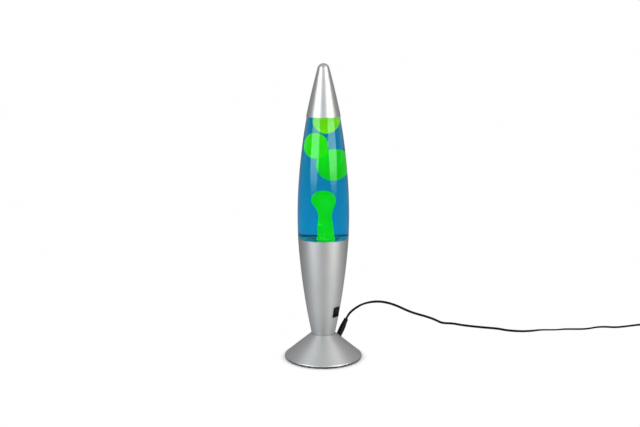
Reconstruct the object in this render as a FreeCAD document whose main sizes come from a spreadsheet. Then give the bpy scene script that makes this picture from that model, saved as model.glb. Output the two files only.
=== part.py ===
import FreeCAD, Part
import math
import os

import Sketcher

# Liquid motion lamp: a glass bottle of coloured liquid and wax stands in a metal base,
# under a metal cap, and a low-voltage reflector bulb in the base warms and lights it.
# Millimetres, +Z up. The origin is the middle of the foot, on the table.

Vector = FreeCAD.Vector

# Driving dimensions: name, value in millimetres or degrees, and what it measures.
DRIVING_SIZES = [
    ("foot_radius", 54.2, "widest radius of the foot, over its rolled edge"),
    ("foot_height", 35.0, "table to the flat top of the foot"),
    ("foot_top_radius", 16.9, "radius of the flat top of the foot"),
    ("foot_wall", 1.0, "sheet thickness of the foot"),
    ("foot_bead", 1.8, "radius of the rolled edge of the foot"),
    ("foot_gap", 1.0, "rolled edge above the table"),
    ("cover_sheet", 1.6, "thickness of the bottom cover"),
    ("cover_skirt", 3.6, "height of the bottom cover's skirt"),
    ("pad_height", 1.4, "height of one rubber foot pad"),
    ("pad_radius", 5.0, "radius of one rubber foot pad"),
    ("pad_circle", 41.0, "radius of the circle of foot pads"),
    ("base_height", 137.0, "height of the upper base, from the foot to its rim"),
    ("base_neck_radius", 16.6, "radius of the upper base at the foot"),
    ("rim_radius", 35.05, "radius of the upper base at its rim"),
    ("base_swell", 2.45, "how far the wall of the upper base swells past a straight cone"),
    ("base_wall", 0.7, "sheet thickness of the upper base"),
    ("base_corner", 0.8, "rounded lower corner of the upper base"),
    ("panel_fit", 0.15, "clearance of what passes through a sheet or a bore"),
    ("thread_fit", 0.02, "clearance of a thread in its nut"),
    ("pin_fit", 0.05, "clearance round a pin, on each side"),
    ("tube_radius", 5.0, "outer radius of the threaded tube"),
    ("tube_bore", 3.7, "bore radius of the threaded tube"),
    ("tube_end", 2.0, "thread that stands past each nut"),
    ("tube_fit", 0.25, "clearance of the holes round the threaded tube"),
    ("nut_flats", 14.0, "width across the flats of the tube nuts"),
    ("nut_height", 3.4, "height of a tube nut"),
    ("washer_radius", 7.8, "outer radius of a tube washer"),
    ("washer_sheet", 0.8, "thickness of a tube washer"),
    ("bracket_width", 11.0, "width of the holder bracket's strip"),
    ("bracket_sheet", 1.2, "thickness of the holder bracket's strip"),
    ("bracket_reach", 12.6, "axis to the outside of the bracket's upright"),
    ("bracket_bend", 2.2, "outer radius of the bracket's bends"),
    ("bulb_drop", 22.0, "rim of the upper base down to the front of the bulb"),
    ("bulb_radius", 25.2, "radius of the reflector bulb's front rim"),
    ("bulb_length", 37.5, "length of the reflector without its pins"),
    ("bulb_neck_radius", 8.0, "radius of the reflector's neck"),
    ("bulb_neck_height", 11.5, "height of the reflector's neck"),
    ("bulb_bowl_swell", 4.2, "swell of the reflector's bowl past a straight cone"),
    ("front_glass", 1.6, "thickness of the bulb's front glass"),
    ("capsule_radius", 4.5, "radius of the bulb's capsule"),
    ("capsule_length", 19.0, "length of the bulb's capsule above the cement"),
    ("bulb_glass", 1.4, "wall of the reflector"),
    ("bulb_rim_height", 4.0, "height of the reflector's front rim"),
    ("bulb_pin_radius", 0.75, "radius of a bulb pin"),
    ("bulb_pin_spread", 5.33, "distance between the bulb pins"),
    ("bulb_pin_length", 7.5, "length of a bulb pin below the neck"),
    ("bulb_pin_root", 5.0, "length of a bulb pin inside the neck"),
    ("holder_length", 26.0, "length of the ceramic lampholder"),
    ("holder_width", 13.0, "width of the ceramic lampholder"),
    ("holder_height", 12.0, "height of the ceramic lampholder"),
    ("holder_corner", 3.0, "rounded corners of the ceramic lampholder"),
    ("contact_tail", 3.0, "length of a contact below the lampholder"),
    ("holder_screw_spread", 17.6, "distance between the lampholder's screws"),
    ("screw_radius", 1.5, "shank radius of a lampholder screw"),
    ("screw_head_radius", 2.7, "head radius of a lampholder screw"),
    ("screw_head_height", 1.8, "head height of a lampholder screw"),
    ("contact_wall", 0.3, "wall of a lampholder contact"),
    ("seat_depth", 8.0, "height of the bottle seat's skirt"),
    ("seat_sheet", 1.0, "thickness of the bottle seat"),
    ("seat_hole", 26.4, "radius of the hole in the bottle seat"),
    ("gasket_thickness", 1.5, "thickness of the ring under the bottle"),
    ("gasket_width", 5.6, "width of the ring under the bottle"),
    ("running_gap", 0.3, "gap between pieces that lift off one another"),
    ("bottle_sink", 5.0, "depth of the bottle's heel below the rim"),
    ("bottle_height", 166.9, "glass that shows between the rim and the cap"),
    ("bottle_low_radius", 35.0, "radius of the glass just above the rim"),
    ("bottle_mid_height", 80.0, "rim up to the change of curve of the glass"),
    ("bottle_mid_radius", 33.65, "radius of the glass at the change of curve"),
    ("bottle_low_swell", 1.18, "swell of the lower curve of the glass"),
    ("bottle_high_swell", 1.21, "swell of the upper curve of the glass"),
    ("glass_wall", 2.2, "wall of the bottle"),
    ("glass_floor", 4.0, "thickness of the bottle's floor"),
    ("ledge_corner", 0.5, "rounding of the glass at the rim and the mouth"),
    ("inner_corner", 5.0, "rounding inside the bottle's floor"),
    ("heel_rise", 3.6, "height of the bottle's rounded heel"),
    ("heel_swell", 0.9, "swell of the bottle's rounded heel"),
    ("heel_radius", 29.0, "outer radius of the ring that the bottle stands on"),
    ("stand_width", 1.2, "width of the ring that the bottle stands on"),
    ("punt", 1.2, "hollow under the bottle"),
    ("punt_slope", 2.4, "width of the slope round the hollow under the bottle"),
    ("bottle_neck_radius", 12.8, "radius of the bottle's neck"),
    ("bottle_bore", 9.2, "bore radius of the bottle's neck"),
    ("shoulder_height", 12.6, "height of the bottle's shoulder, inside the cap"),
    ("shoulder_swell", 1.6, "swell of the bottle's shoulder"),
    ("inner_shoulder_swell", 1.28, "swell of the shoulder inside the bottle"),
    ("neck_height", 9.7, "height of the bottle's neck with its lip"),
    ("lip_height", 5.4, "height of the lip at the mouth of the bottle"),
    ("lip_radius", 13.3, "radius of the lip at the mouth of the bottle"),
    ("fill_gap", 7.0, "mouth of the bottle down to the liquid"),
    ("crown_sheet", 0.5, "sheet thickness of the crown closure"),
    ("crown_skirt", 5.0, "height of the crown closure's skirt"),
    ("crown_flare", 1.3, "how far the crown closure's skirt flares out"),
    ("flute_height", 2.75, "height of the flutes round the crown closure's skirt"),
    ("flute_count", 21, "flutes round the crown closure's skirt"),
    ("liner_thickness", 0.8, "thickness of the sealing disc"),
    ("cap_height", 71.1, "height of the cap"),
    ("cap_radius", 23.5, "radius of the cap at its lower edge"),
    ("cap_wall", 0.6, "sheet thickness of the cap"),
    ("cap_swell", 0.45, "swell of the cap past a straight cone"),
    ("nose_radius", 7.8, "radius of the cap where its nose begins"),
    ("nose_height", 5.4, "height of the cap's rounded nose"),
    ("column_head", 12.5, "radius of the wax column's head"),
    ("spring_room", 0.3, "room round the wire spring in the wax"),
    ("spring_turns", 2, "turns of the wire spring in the wax"),
    ("spring_radius", 6.0, "radius of the wire spring in the wax"),
    ("spring_wire", 0.6, "wire radius of the spring in the wax"),
    ("spring_pitch", 1.7, "pitch of the spring in the wax"),
    ("switch_height", 69.0, "table to the middle of the switch"),
    ("switch_turn", -40.0, "direction of the switch from +X about the axis"),
    ("bezel_length", 15.0, "length of the switch's bezel, up the wall"),
    ("bezel_width", 10.5, "width of the switch's bezel"),
    ("bezel_height", 1.6, "height of the switch's bezel off the wall"),
    ("bezel_slope", 25.0, "lean of the bezel's sides, inwards"),
    ("switch_body_length", 13.0, "length of the switch's body behind the wall"),
    ("switch_body_width", 8.6, "width of the switch's body behind the wall"),
    ("switch_body_depth", 10.0, "depth of the switch's body behind the wall"),
    ("rocker_width", 6.4, "width of the rocker"),
    ("rocker_length", 10.6, "length of the rocker"),
    ("rocker_tilt", 9.0, "tilt of the rocker to either side of level"),
    ("rocker_pivot", 0.2, "middle of the trunnions above the wall"),
    ("rocker_rise", 2.4, "pivot to the top of the rocker's ends"),
    ("rocker_dish", 0.9, "dish of the rocker's top"),
    ("rocker_heel", 2.2, "half length of the rocker's lower end"),
    ("rocker_room", 5.0, "depth of the rocker's room behind the wall"),
    ("trunnion_radius", 1.0, "radius of the rocker's trunnions"),
    ("trunnion_length", 0.5, "length of each trunnion"),
    ("tab_width", 2.8, "width of a terminal tab"),
    ("tab_sheet", 0.5, "thickness of a terminal tab"),
    ("tab_length", 4.0, "length of a terminal tab"),
    ("tab_spread", 7.0, "distance between the switch's tabs"),
    ("jack_turn", 50.0, "direction of the supply jack from +X about the axis"),
    ("jack_radius", 33.3, "axis to the middle of the supply jack on the foot"),
    ("jack_flange", 5.2, "flange radius of the supply jack"),
    ("jack_flange_height", 1.5, "flange height of the supply jack"),
    ("jack_thread", 4.0, "thread radius of the supply jack"),
    ("jack_depth", 12.0, "depth of the supply jack inside the foot"),
    ("plug_barrel_radius", 2.75, "outer radius of the plug's barrel"),
    ("plug_barrel_bore", 1.25, "bore radius of the plug's barrel"),
    ("plug_barrel_length", 8.5, "length of the plug's barrel"),
    ("plug_length", 27.0, "length of the plug's moulded grip"),
    ("plug_grip_radius", 4.2, "largest radius of the plug's grip"),
    ("plug_tail_radius", 2.5, "radius of the plug's grip at the lead"),
    ("jack_nut_height", 2.2, "height of the supply jack's nut"),
    ("plug_lip", 0.4, "step of the plug's grip"),
    ("plug_edge", 0.12, "swell of the rounded ends of the plug's grip"),
    ("plug_swell_height", 12.0, "face of the plug's grip to its largest radius"),
    ("plug_bulge", 0.2, "swell of the plug's grip past a straight cone"),
    ("lead_width", 3.0, "width of the flat supply lead"),
    ("table_gap", 0.05, "lead above the table where it lies"),
    ("coil_x", 540.0, "middle of the wound lead, to the right of the axis"),
    ("coil_y", 175.0, "middle of the wound lead, behind the axis"),
    ("coil_radius", 25.5, "outer radius of the wound lead, to the lead's middle"),
    ("coil_step", 3.55, "distance between turns of the wound lead"),
    ("coil_rise", 3.5, "distance between the two layers of the wound lead"),
    ("coil_turns", 5, "turns in each layer of the wound lead"),
    ("tie_sheet", 0.5, "thickness of the tie round the wound lead"),
    ("tie_width", 6.0, "width of the tie round the wound lead"),
    ("adapter_x", 592.0, "near end of the supply adapter, to the right of the axis"),
    ("adapter_length", 74.0, "length of the supply adapter"),
    ("adapter_width", 44.0, "width of the supply adapter"),
    ("adapter_height", 30.0, "height of the supply adapter, lying with its pins up"),
    ("adapter_corner", 6.0, "rounded upright corners of the adapter"),
    ("adapter_edge", 2.0, "rounded upper and lower edges of the adapter"),
    ("boss_length", 35.0, "length of the raised face that carries the pins"),
    ("boss_width", 13.7, "width of the raised face that carries the pins"),
    ("boss_height", 3.0, "height of the raised face that carries the pins"),
    ("adapter_pin_radius", 2.0, "radius of a pin of the adapter"),
    ("adapter_pin_length", 19.0, "length of a pin of the adapter"),
    ("adapter_pin_spread", 18.6, "distance between the pins of the adapter"),
    ("relief_length", 14.0, "length of the adapter's strain relief"),
    ("relief_radius", 4.0, "radius of the adapter's strain relief at the adapter"),
    ("relief_end_radius", 2.25, "radius of the adapter's strain relief at the lead"),
    ("wire_radius", 0.8, "radius of an inner wire"),
]


class Size:
    """A number together with the expression on the sheet that gives it."""

    def __init__(self, value, text):
        self.value = float(value)
        self.text = text

    def __add__(self, other):
        other = as_size(other)
        return Size(self.value + other.value, f"({self.text} + {other.text})")

    def __sub__(self, other):
        other = as_size(other)
        return Size(self.value - other.value, f"({self.text} - {other.text})")

    def __mul__(self, other):
        other = as_size(other)
        return Size(self.value * other.value, f"({self.text} * {other.text})")

    def __truediv__(self, other):
        other = as_size(other)
        return Size(self.value / other.value, f"({self.text} / {other.text})")

    def __neg__(self):
        return Size(-self.value, f"(0 - {self.text})")

    __radd__ = __add__
    __rmul__ = __mul__

    def __rsub__(self, other):
        return as_size(other) - self


def as_size(number):
    if isinstance(number, Size):
        return number
    return Size(number, f"({float(number)!r})")


def root(size):
    return Size(math.sqrt(size.value), f"sqrt({size.text})")


def cosine(angle):
    return Size(math.cos(math.radians(angle.value)), f"cos({angle.text} * 1 deg)")


def sine(angle):
    return Size(math.sin(math.radians(angle.value)), f"sin({angle.text} * 1 deg)")


doc = FreeCAD.newDocument("liquid_motion_lamp")
sheet = doc.addObject("Spreadsheet::Sheet", "Sizes")
named_sizes = {}
for row, (alias, number, meaning) in enumerate(DRIVING_SIZES, start=1):
    sheet.set(f"A{row}", alias)
    sheet.set(f"B{row}", str(number))
    sheet.set(f"C{row}", meaning)
    sheet.setAlias(f"B{row}", alias)
    named_sizes[alias] = Size(number, f"Sizes.{alias}")
doc.recompute()


class Sizes:
    """The driving dimensions, each under its own name."""


for alias, size in named_sizes.items():
    setattr(Sizes, alias, size)

sub_parts = []

# How deep a cut through a bent or sloping sheet goes, in thicknesses of the sheet
THROUGH_SHEET = 8


def keep(part, label):
    """List an object as a sub-part under its own label."""
    part.Label = label
    sub_parts.append(part)
    return part


def bind(part, prop, size):
    """Tie one property of a part to the sheet."""
    part.setExpression(prop, as_size(size).text)


def place(part, x=0, y=0, z=0):
    for axis, size in (("x", x), ("y", y), ("z", z)):
        bind(part, f"Placement.Base.{axis}", size)


def origin_plane(body, role):
    return next(item for item in body.Origin.OriginFeatures if item.Role == role)


def new_sketch(body, name, role="XZ_Plane", offset=None):
    sketch = body.newObject("Sketcher::SketchObject", name)
    sketch.AttachmentSupport = (origin_plane(body, role), "")
    sketch.MapMode = "FlatFace"
    if offset is not None:
        sketch.AttachmentOffset = offset
    return sketch


def fix_point(sketch, geometry, end, across, up, name):
    """Pin one end of a line or arc at a distance across and up from the sketch's origin."""
    for kind, axis, size in (("DistanceX", -2, across), ("DistanceY", -1, up)):
        size = as_size(size)
        if abs(size.value) < 1e-9:
            sketch.addConstraint(Sketcher.Constraint("PointOnObject", geometry, end, axis))
            continue
        index = sketch.addConstraint(
            Sketcher.Constraint(kind, -1, 1, geometry, end, size.value))
        sketch.renameConstraint(index, f"{name}_{kind}")
        sketch.setExpression(f"Constraints.{name}_{kind}", size.text)


def arc_radius(chord, swell):
    return chord * chord / (8 * swell) + swell / 2


def length_between(start, end):
    across = as_size(end[0]) - as_size(start[0])
    up = as_size(end[1]) - as_size(start[1])
    return root(across * across + up * up)


def draw_outline(sketch, corners):
    """Draw a closed outline through corners (across, up) or (across, up, swell).

    With a swell the side that leaves the corner is an arc, which stands that far
    to the right of the straight line to the next corner, or to the left if negative.
    """
    count = len(corners)
    points = [Vector(as_size(c[0]).value, as_size(c[1]).value, 0) for c in corners]
    first_ends = []
    for index, corner in enumerate(corners):
        start, end = points[index], points[(index + 1) % count]
        if len(corner) == 3:
            along = (end - start).normalize()
            rightward = Vector(along.y, -along.x, 0)
            swell = as_size(corner[2]).value
            middle = (start + end) * 0.5 + rightward * swell
            ends = (start, end) if swell > 0 else (end, start)
            sketch.addGeometry(Part.Arc(ends[0], middle, ends[1]))
        else:
            sketch.addGeometry(Part.LineSegment(start, end))
        shape = sketch.Geometry[index]
        first_ends.append(1 if shape.StartPoint.distanceToPoint(start) < 1e-6 else 2)
    for index, corner in enumerate(corners):
        follower = (index + 1) % count
        sketch.addConstraint(Sketcher.Constraint(
            "Coincident", index, 3 - first_ends[index], follower, first_ends[follower]))
        fix_point(sketch, index, first_ends[index], corner[0], corner[1], f"corner{index}")
        if len(corner) == 3:
            swell = as_size(corner[2])
            swell = swell if swell.value > 0 else -swell
            radius = arc_radius(length_between(corner, corners[follower]), swell)
            spot = sketch.addConstraint(Sketcher.Constraint("Radius", index, radius.value))
            sketch.renameConstraint(spot, f"arc{index}")
            sketch.setExpression(f"Constraints.arc{index}", radius.text)


def turned(label, corners, seat=0):
    """A body of revolution from a half outline of radii and heights.

    The heights are above the table, and the body's own origin is on the axis at its seat.
    With no seat the heights are the body's own, and it is placed afterwards.
    """
    local = seat is None
    seat = as_size(0 if local else seat)
    body = doc.addObject("PartDesign::Body", label)
    outline = new_sketch(body, f"{label}_outline")
    draw_outline(outline, [(c[0], c[1] - seat, *c[2:]) for c in corners])
    turn = body.newObject("PartDesign::Revolution", f"{label}_turn")
    turn.Profile = outline
    turn.ReferenceAxis = (outline, ["V_Axis"])
    turn.Angle = 360
    if not local:
        place(body, z=seat)
    return keep(body, label)


def dome_swell(radius, height):
    """The swell of a ball-shaped end of a turned piece, whose middle is on the axis."""
    ball = (radius * radius + height * height) / (2 * height)
    half = length_between((radius, 0), (0, height)) / 2
    return ball - root(ball * ball - half * half)


def quarter_swell(radius):
    """The swell of a quarter round of a radius."""
    return radius * (1 - math.sqrt(0.5))


def rectangle(across, up, middle_across=0, middle_up=0):
    """The corners of a rectangle about a middle point."""
    left, right = middle_across - across / 2, middle_across + across / 2
    low, high = middle_up - up / 2, middle_up + up / 2
    return [(left, low), (right, low), (right, high), (left, high)]


def pad(body, name, corners, length, role="XY_Plane", midplane=False, offset=None):
    outline = new_sketch(body, f"{name}_outline", role, offset)
    draw_outline(outline, corners)
    block = body.newObject("PartDesign::Pad", name)
    block.Profile = outline
    bind(block, "Length", length)
    block.Midplane = midplane
    return block


def draw_circle(sketch, radius, across=0, up=0):
    across, up, radius = as_size(across), as_size(up), as_size(radius)
    index = sketch.addGeometry(
        Part.Circle(Vector(across.value, up.value, 0), Vector(0, 0, 1), radius.value))
    fix_point(sketch, index, 3, across, up, f"centre{index}")
    spot = sketch.addConstraint(Sketcher.Constraint("Radius", index, radius.value))
    sketch.renameConstraint(spot, f"radius{index}")
    sketch.setExpression(f"Constraints.radius{index}", radius.text)


def pocket(body, name, sketch, length, reverse=False, midplane=False):
    """Cut a sketch out of a body, and check that it took material away."""
    doc.recompute()
    before = body.Shape.Volume
    cut = body.newObject("PartDesign::Pocket", name)
    cut.Profile = sketch
    bind(cut, "Length", length)
    cut.Reversed = reverse
    cut.Midplane = midplane
    doc.recompute()
    if body.Shape.Volume > before - 1e-6:
        raise RuntimeError(f"{name} cuts nothing")
    return cut


def cylinder(name, radius, height, x=0, y=0, z=0):
    part = doc.addObject("Part::Cylinder", name)
    bind(part, "Radius", radius)
    bind(part, "Height", height)
    place(part, x, y, z)
    return part


def tube(name, radius, bore, height):
    part = doc.addObject("Part::Cut", name)
    part.Base = cylinder(f"{name}_outside", radius, height)
    part.Tool = cylinder(f"{name}_bore", bore, height)
    return part


def group(label, members):
    part = doc.addObject("Part::Compound", label)
    part.Links = members
    return keep(part, label)


# Heights that pieces share
rim_height = Sizes.foot_height + Sizes.base_height
bottle_bottom = rim_height - Sizes.bottle_sink
cap_bottom = rim_height + Sizes.bottle_height
base_floor = Sizes.foot_height + Sizes.base_wall
bulb_top = rim_height - Sizes.bulb_drop
bulb_bottom = bulb_top - Sizes.bulb_length
holder_top = bulb_bottom - Sizes.running_gap
holder_bottom = holder_top - Sizes.holder_height


class Arch:
    """The arc between two corners (radius, height) that swells outwards."""

    def __init__(self, low, high, swell):
        chord = length_between(low, high)
        self.radius = arc_radius(chord, as_size(swell))
        lean = self.radius - swell
        self.middle_across = (low[0] + high[0]) / 2 - (high[1] - low[1]) / chord * lean
        self.middle_up = (low[1] + high[1]) / 2 + (high[0] - low[0]) / chord * lean

    def at(self, height):
        """The radius of the wall at a height."""
        rise = height - self.middle_up
        return self.middle_across + root(self.radius * self.radius - rise * rise)

    def swell(self, low, high):
        """The swell of a shorter piece of the same arc."""
        half = length_between(low, high) / 2
        return self.radius - root(self.radius * self.radius - half * half)


base_arch = Arch(
    (Sizes.base_neck_radius, Sizes.foot_height + Sizes.base_corner),
    (Sizes.rim_radius, rim_height),
    Sizes.base_swell)


def foot_line():
    """Where the cone of the foot meets its rolled edge, and its slope outwards per drop."""
    bead_across = Sizes.foot_radius - Sizes.foot_bead
    bead_up = Sizes.foot_gap + Sizes.foot_bead
    across = bead_across - Sizes.foot_top_radius
    down = Sizes.foot_height - bead_up
    reach = root(across * across + down * down)
    near = Sizes.foot_bead / reach
    side = root(1 - near * near)
    touch_across = bead_across + Sizes.foot_bead * (down / reach * side - across / reach * near)
    touch_up = bead_up + Sizes.foot_bead * (across / reach * side + down / reach * near)
    slope = (touch_across - Sizes.foot_top_radius) / (Sizes.foot_height - touch_up)
    return touch_across, touch_up, slope


foot_touch_across, foot_touch_up, foot_slope = foot_line()
foot_stretch = root(1 + foot_slope * foot_slope)
foot_inset = Sizes.foot_wall * foot_stretch


def foot_cone_height(radius):
    """Height of the outside of the foot's cone at a radius."""
    return Sizes.foot_height - (radius - Sizes.foot_top_radius) / foot_slope


def foot_shell():
    bead_across = Sizes.foot_radius - Sizes.foot_bead
    bead_up = Sizes.foot_gap + Sizes.foot_bead
    inner_edge = bead_across - Sizes.foot_bead
    inner_rise = foot_cone_height(inner_edge + foot_inset)
    under_top = Sizes.foot_height - Sizes.foot_wall
    inner_top = Sizes.foot_top_radius + foot_slope * Sizes.foot_wall - foot_inset
    hole = Sizes.tube_radius + Sizes.tube_fit
    touch_chord = length_between((foot_touch_across, foot_touch_up), (bead_across, Sizes.foot_gap))
    half_chord = touch_chord / 2
    bead_depth = root(Sizes.foot_bead * Sizes.foot_bead - half_chord * half_chord)
    bead_swell = Sizes.foot_bead - bead_depth
    return turned("foot_shell", [
        (hole, Sizes.foot_height),
        (hole, under_top),
        (inner_top, under_top),
        (inner_edge, inner_rise),
        (inner_edge, bead_up, quarter_swell(Sizes.foot_bead)),
        (bead_across, Sizes.foot_gap, bead_swell),
        (foot_touch_across, foot_touch_up),
        (Sizes.foot_top_radius, Sizes.foot_height),
    ])


def placement_on(point, outward, upward):
    """A frame at a point whose Z looks outward and whose Y looks upward along the wall."""
    outward = Vector(outward).normalize()
    across = Vector(upward).cross(outward).normalize()
    return FreeCAD.Placement(point, FreeCAD.Rotation(across, outward.cross(across), outward, "ZYX"))


def direction(turn):
    angle = math.radians(turn.value)
    return Vector(math.cos(angle), math.sin(angle), 0)


def switch_frame():
    """The middle of the switch on the wall of the upper base."""
    step = 0.01
    radius = base_arch.at(Sizes.switch_height).value
    lean = (base_arch.at(Sizes.switch_height + step).value - radius) / step
    point = direction(Sizes.switch_turn) * radius + Vector(0, 0, Sizes.switch_height.value)
    return placement_on(point, direction(Sizes.switch_turn) - Vector(0, 0, lean), Vector(0, 0, 1))


def jack_frame():
    """The middle of the supply jack on the cone of the foot."""
    point = direction(Sizes.jack_turn) * Sizes.jack_radius.value
    point = point + Vector(0, 0, foot_cone_height(Sizes.jack_radius).value)
    outward = direction(Sizes.jack_turn) + Vector(0, 0, foot_slope.value)
    return placement_on(point, outward, Vector(0, 0, 1))


def raised(height):
    """A place on the Z axis of another frame."""
    return FreeCAD.Placement(Vector(0, 0, height), FreeCAD.Rotation())


switch_place = switch_frame()
jack_place = jack_frame()


def foot_pieces():
    shell = foot_shell()
    hole = new_sketch(shell, "jack_hole", "XY_Plane", jack_place)
    draw_circle(hole, Sizes.jack_thread + Sizes.panel_fit)
    pocket(shell, "jack_opening", hole, THROUGH_SHEET * Sizes.foot_wall, midplane=True)

    inside = Sizes.foot_radius - 2 * Sizes.foot_bead - Sizes.panel_fit
    under = Sizes.pad_height
    turned("bottom_cover", [
        (0, under),
        (inside, under),
        (inside, under + Sizes.cover_skirt),
        (inside - Sizes.cover_sheet, under + Sizes.cover_skirt),
        (inside - Sizes.cover_sheet, under + Sizes.cover_sheet),
        (0, under + Sizes.cover_sheet),
    ], under)

    pads = []
    for number in range(4):
        angle = as_size(45 + 90 * number)
        pads.append(cylinder(
            f"pad_{number}", Sizes.pad_radius, Sizes.pad_height,
            Sizes.pad_circle * cosine(angle), Sizes.pad_circle * sine(angle)))
    group("foot_pads", pads)


def hex_nut(name, flats, height, bore):
    prism = doc.addObject("Part::Prism", f"{name}_prism")
    prism.Polygon = 6
    bind(prism, "Circumradius", flats / math.sqrt(3))
    bind(prism, "Height", height)
    nut = doc.addObject("Part::Cut", name)
    nut.Base = prism
    nut.Tool = cylinder(f"{name}_bore", bore, height)
    return nut


def tube_pieces():
    """The threaded tube ties the upper base and the holder bracket to the foot."""
    under_top = Sizes.foot_height - Sizes.foot_wall
    on_tab = base_floor + Sizes.bracket_sheet
    low_nut = under_top - Sizes.washer_sheet - Sizes.nut_height
    high_nut = on_tab + Sizes.washer_sheet
    start = low_nut - Sizes.tube_end
    end = high_nut + Sizes.nut_height + Sizes.tube_end
    stem = tube("threaded_tube", Sizes.tube_radius, Sizes.tube_bore, end - start)
    place(stem, z=start)
    keep(stem, "threaded_tube")
    nuts = []
    washers = []
    for name, nut_z, washer_z in (("low", low_nut, under_top - Sizes.washer_sheet),
                                  ("high", high_nut, on_tab)):
        nut = hex_nut(f"{name}_nut", Sizes.nut_flats, Sizes.nut_height,
                      Sizes.tube_radius + Sizes.thread_fit)
        place(nut, z=nut_z)
        nuts.append(nut)
        washer = tube(f"{name}_washer", Sizes.washer_radius,
                      Sizes.tube_radius + Sizes.tube_fit, Sizes.washer_sheet)
        place(washer, z=washer_z)
        washers.append(washer)
    group("tube_nuts", nuts)
    group("tube_washers", washers)


def upper_base():
    corner = Sizes.base_corner
    hole = Sizes.tube_radius + Sizes.tube_fit
    neck_inside = (base_arch.at(base_floor) - Sizes.base_wall, base_floor)
    rim_inside = (Sizes.rim_radius - Sizes.base_wall, rim_height)
    shell = turned("upper_base", [
        (hole, Sizes.foot_height),
        (Sizes.base_neck_radius - corner, Sizes.foot_height, quarter_swell(corner)),
        (Sizes.base_neck_radius, Sizes.foot_height + corner, Sizes.base_swell),
        (Sizes.rim_radius, rim_height),
        (*rim_inside, -base_arch.swell(neck_inside, rim_inside)),
        neck_inside,
        (hole, base_floor),
    ], Sizes.foot_height)
    seat = FreeCAD.Placement(switch_place.Base - Vector(0, 0, Sizes.foot_height.value),
                             switch_place.Rotation)
    cutout = new_sketch(shell, "switch_cutout", "XY_Plane", seat)
    draw_outline(cutout, rectangle(Sizes.switch_body_width + 2 * Sizes.panel_fit,
                                   Sizes.switch_body_length + 2 * Sizes.panel_fit))
    pocket(shell, "switch_opening", cutout, THROUGH_SHEET * Sizes.base_wall, midplane=True)


def holder_bracket():
    """A strip bent twice: a tab on the threaded tube, an upright and a tab for the holder."""
    body = doc.addObject("PartDesign::Body", "holder_bracket")
    sheet_t = Sizes.bracket_sheet
    reach = Sizes.bracket_reach
    low_end = -Sizes.washer_radius
    high_end = -Sizes.holder_length / 2
    high = holder_bottom - base_floor
    bend = Sizes.bracket_bend
    inner_bend = bend - sheet_t
    outer_swell = quarter_swell(bend)
    inner_swell = quarter_swell(inner_bend)
    pad(body, "strip", [
        (low_end, 0),
        (reach - bend, 0, outer_swell),
        (reach, bend),
        (reach, high - bend, outer_swell),
        (reach - bend, high),
        (high_end, high),
        (high_end, high - sheet_t),
        (reach - bend, high - sheet_t, -inner_swell),
        (reach - sheet_t, high - bend),
        (reach - sheet_t, bend, -inner_swell),
        (reach - bend, sheet_t),
        (low_end, sheet_t),
    ], Sizes.bracket_width, role="YZ_Plane", midplane=True)
    tube_hole = new_sketch(body, "tube_hole", "XY_Plane")
    draw_circle(tube_hole, Sizes.tube_radius + Sizes.tube_fit)
    pocket(body, "tube_opening", tube_hole, sheet_t, reverse=True)
    holes = new_sketch(body, "holder_holes", "XY_Plane", raised(high.value))
    spread = Sizes.holder_screw_spread / 2
    draw_circle(holes, Sizes.screw_radius + Sizes.thread_fit, 0, spread)
    draw_circle(holes, Sizes.screw_radius + Sizes.thread_fit, 0, -spread)
    draw_circle(holes, Sizes.bulb_pin_spread)
    pocket(body, "holder_openings", holes, sheet_t)
    place(body, z=base_floor)
    keep(body, "holder_bracket")


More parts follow.
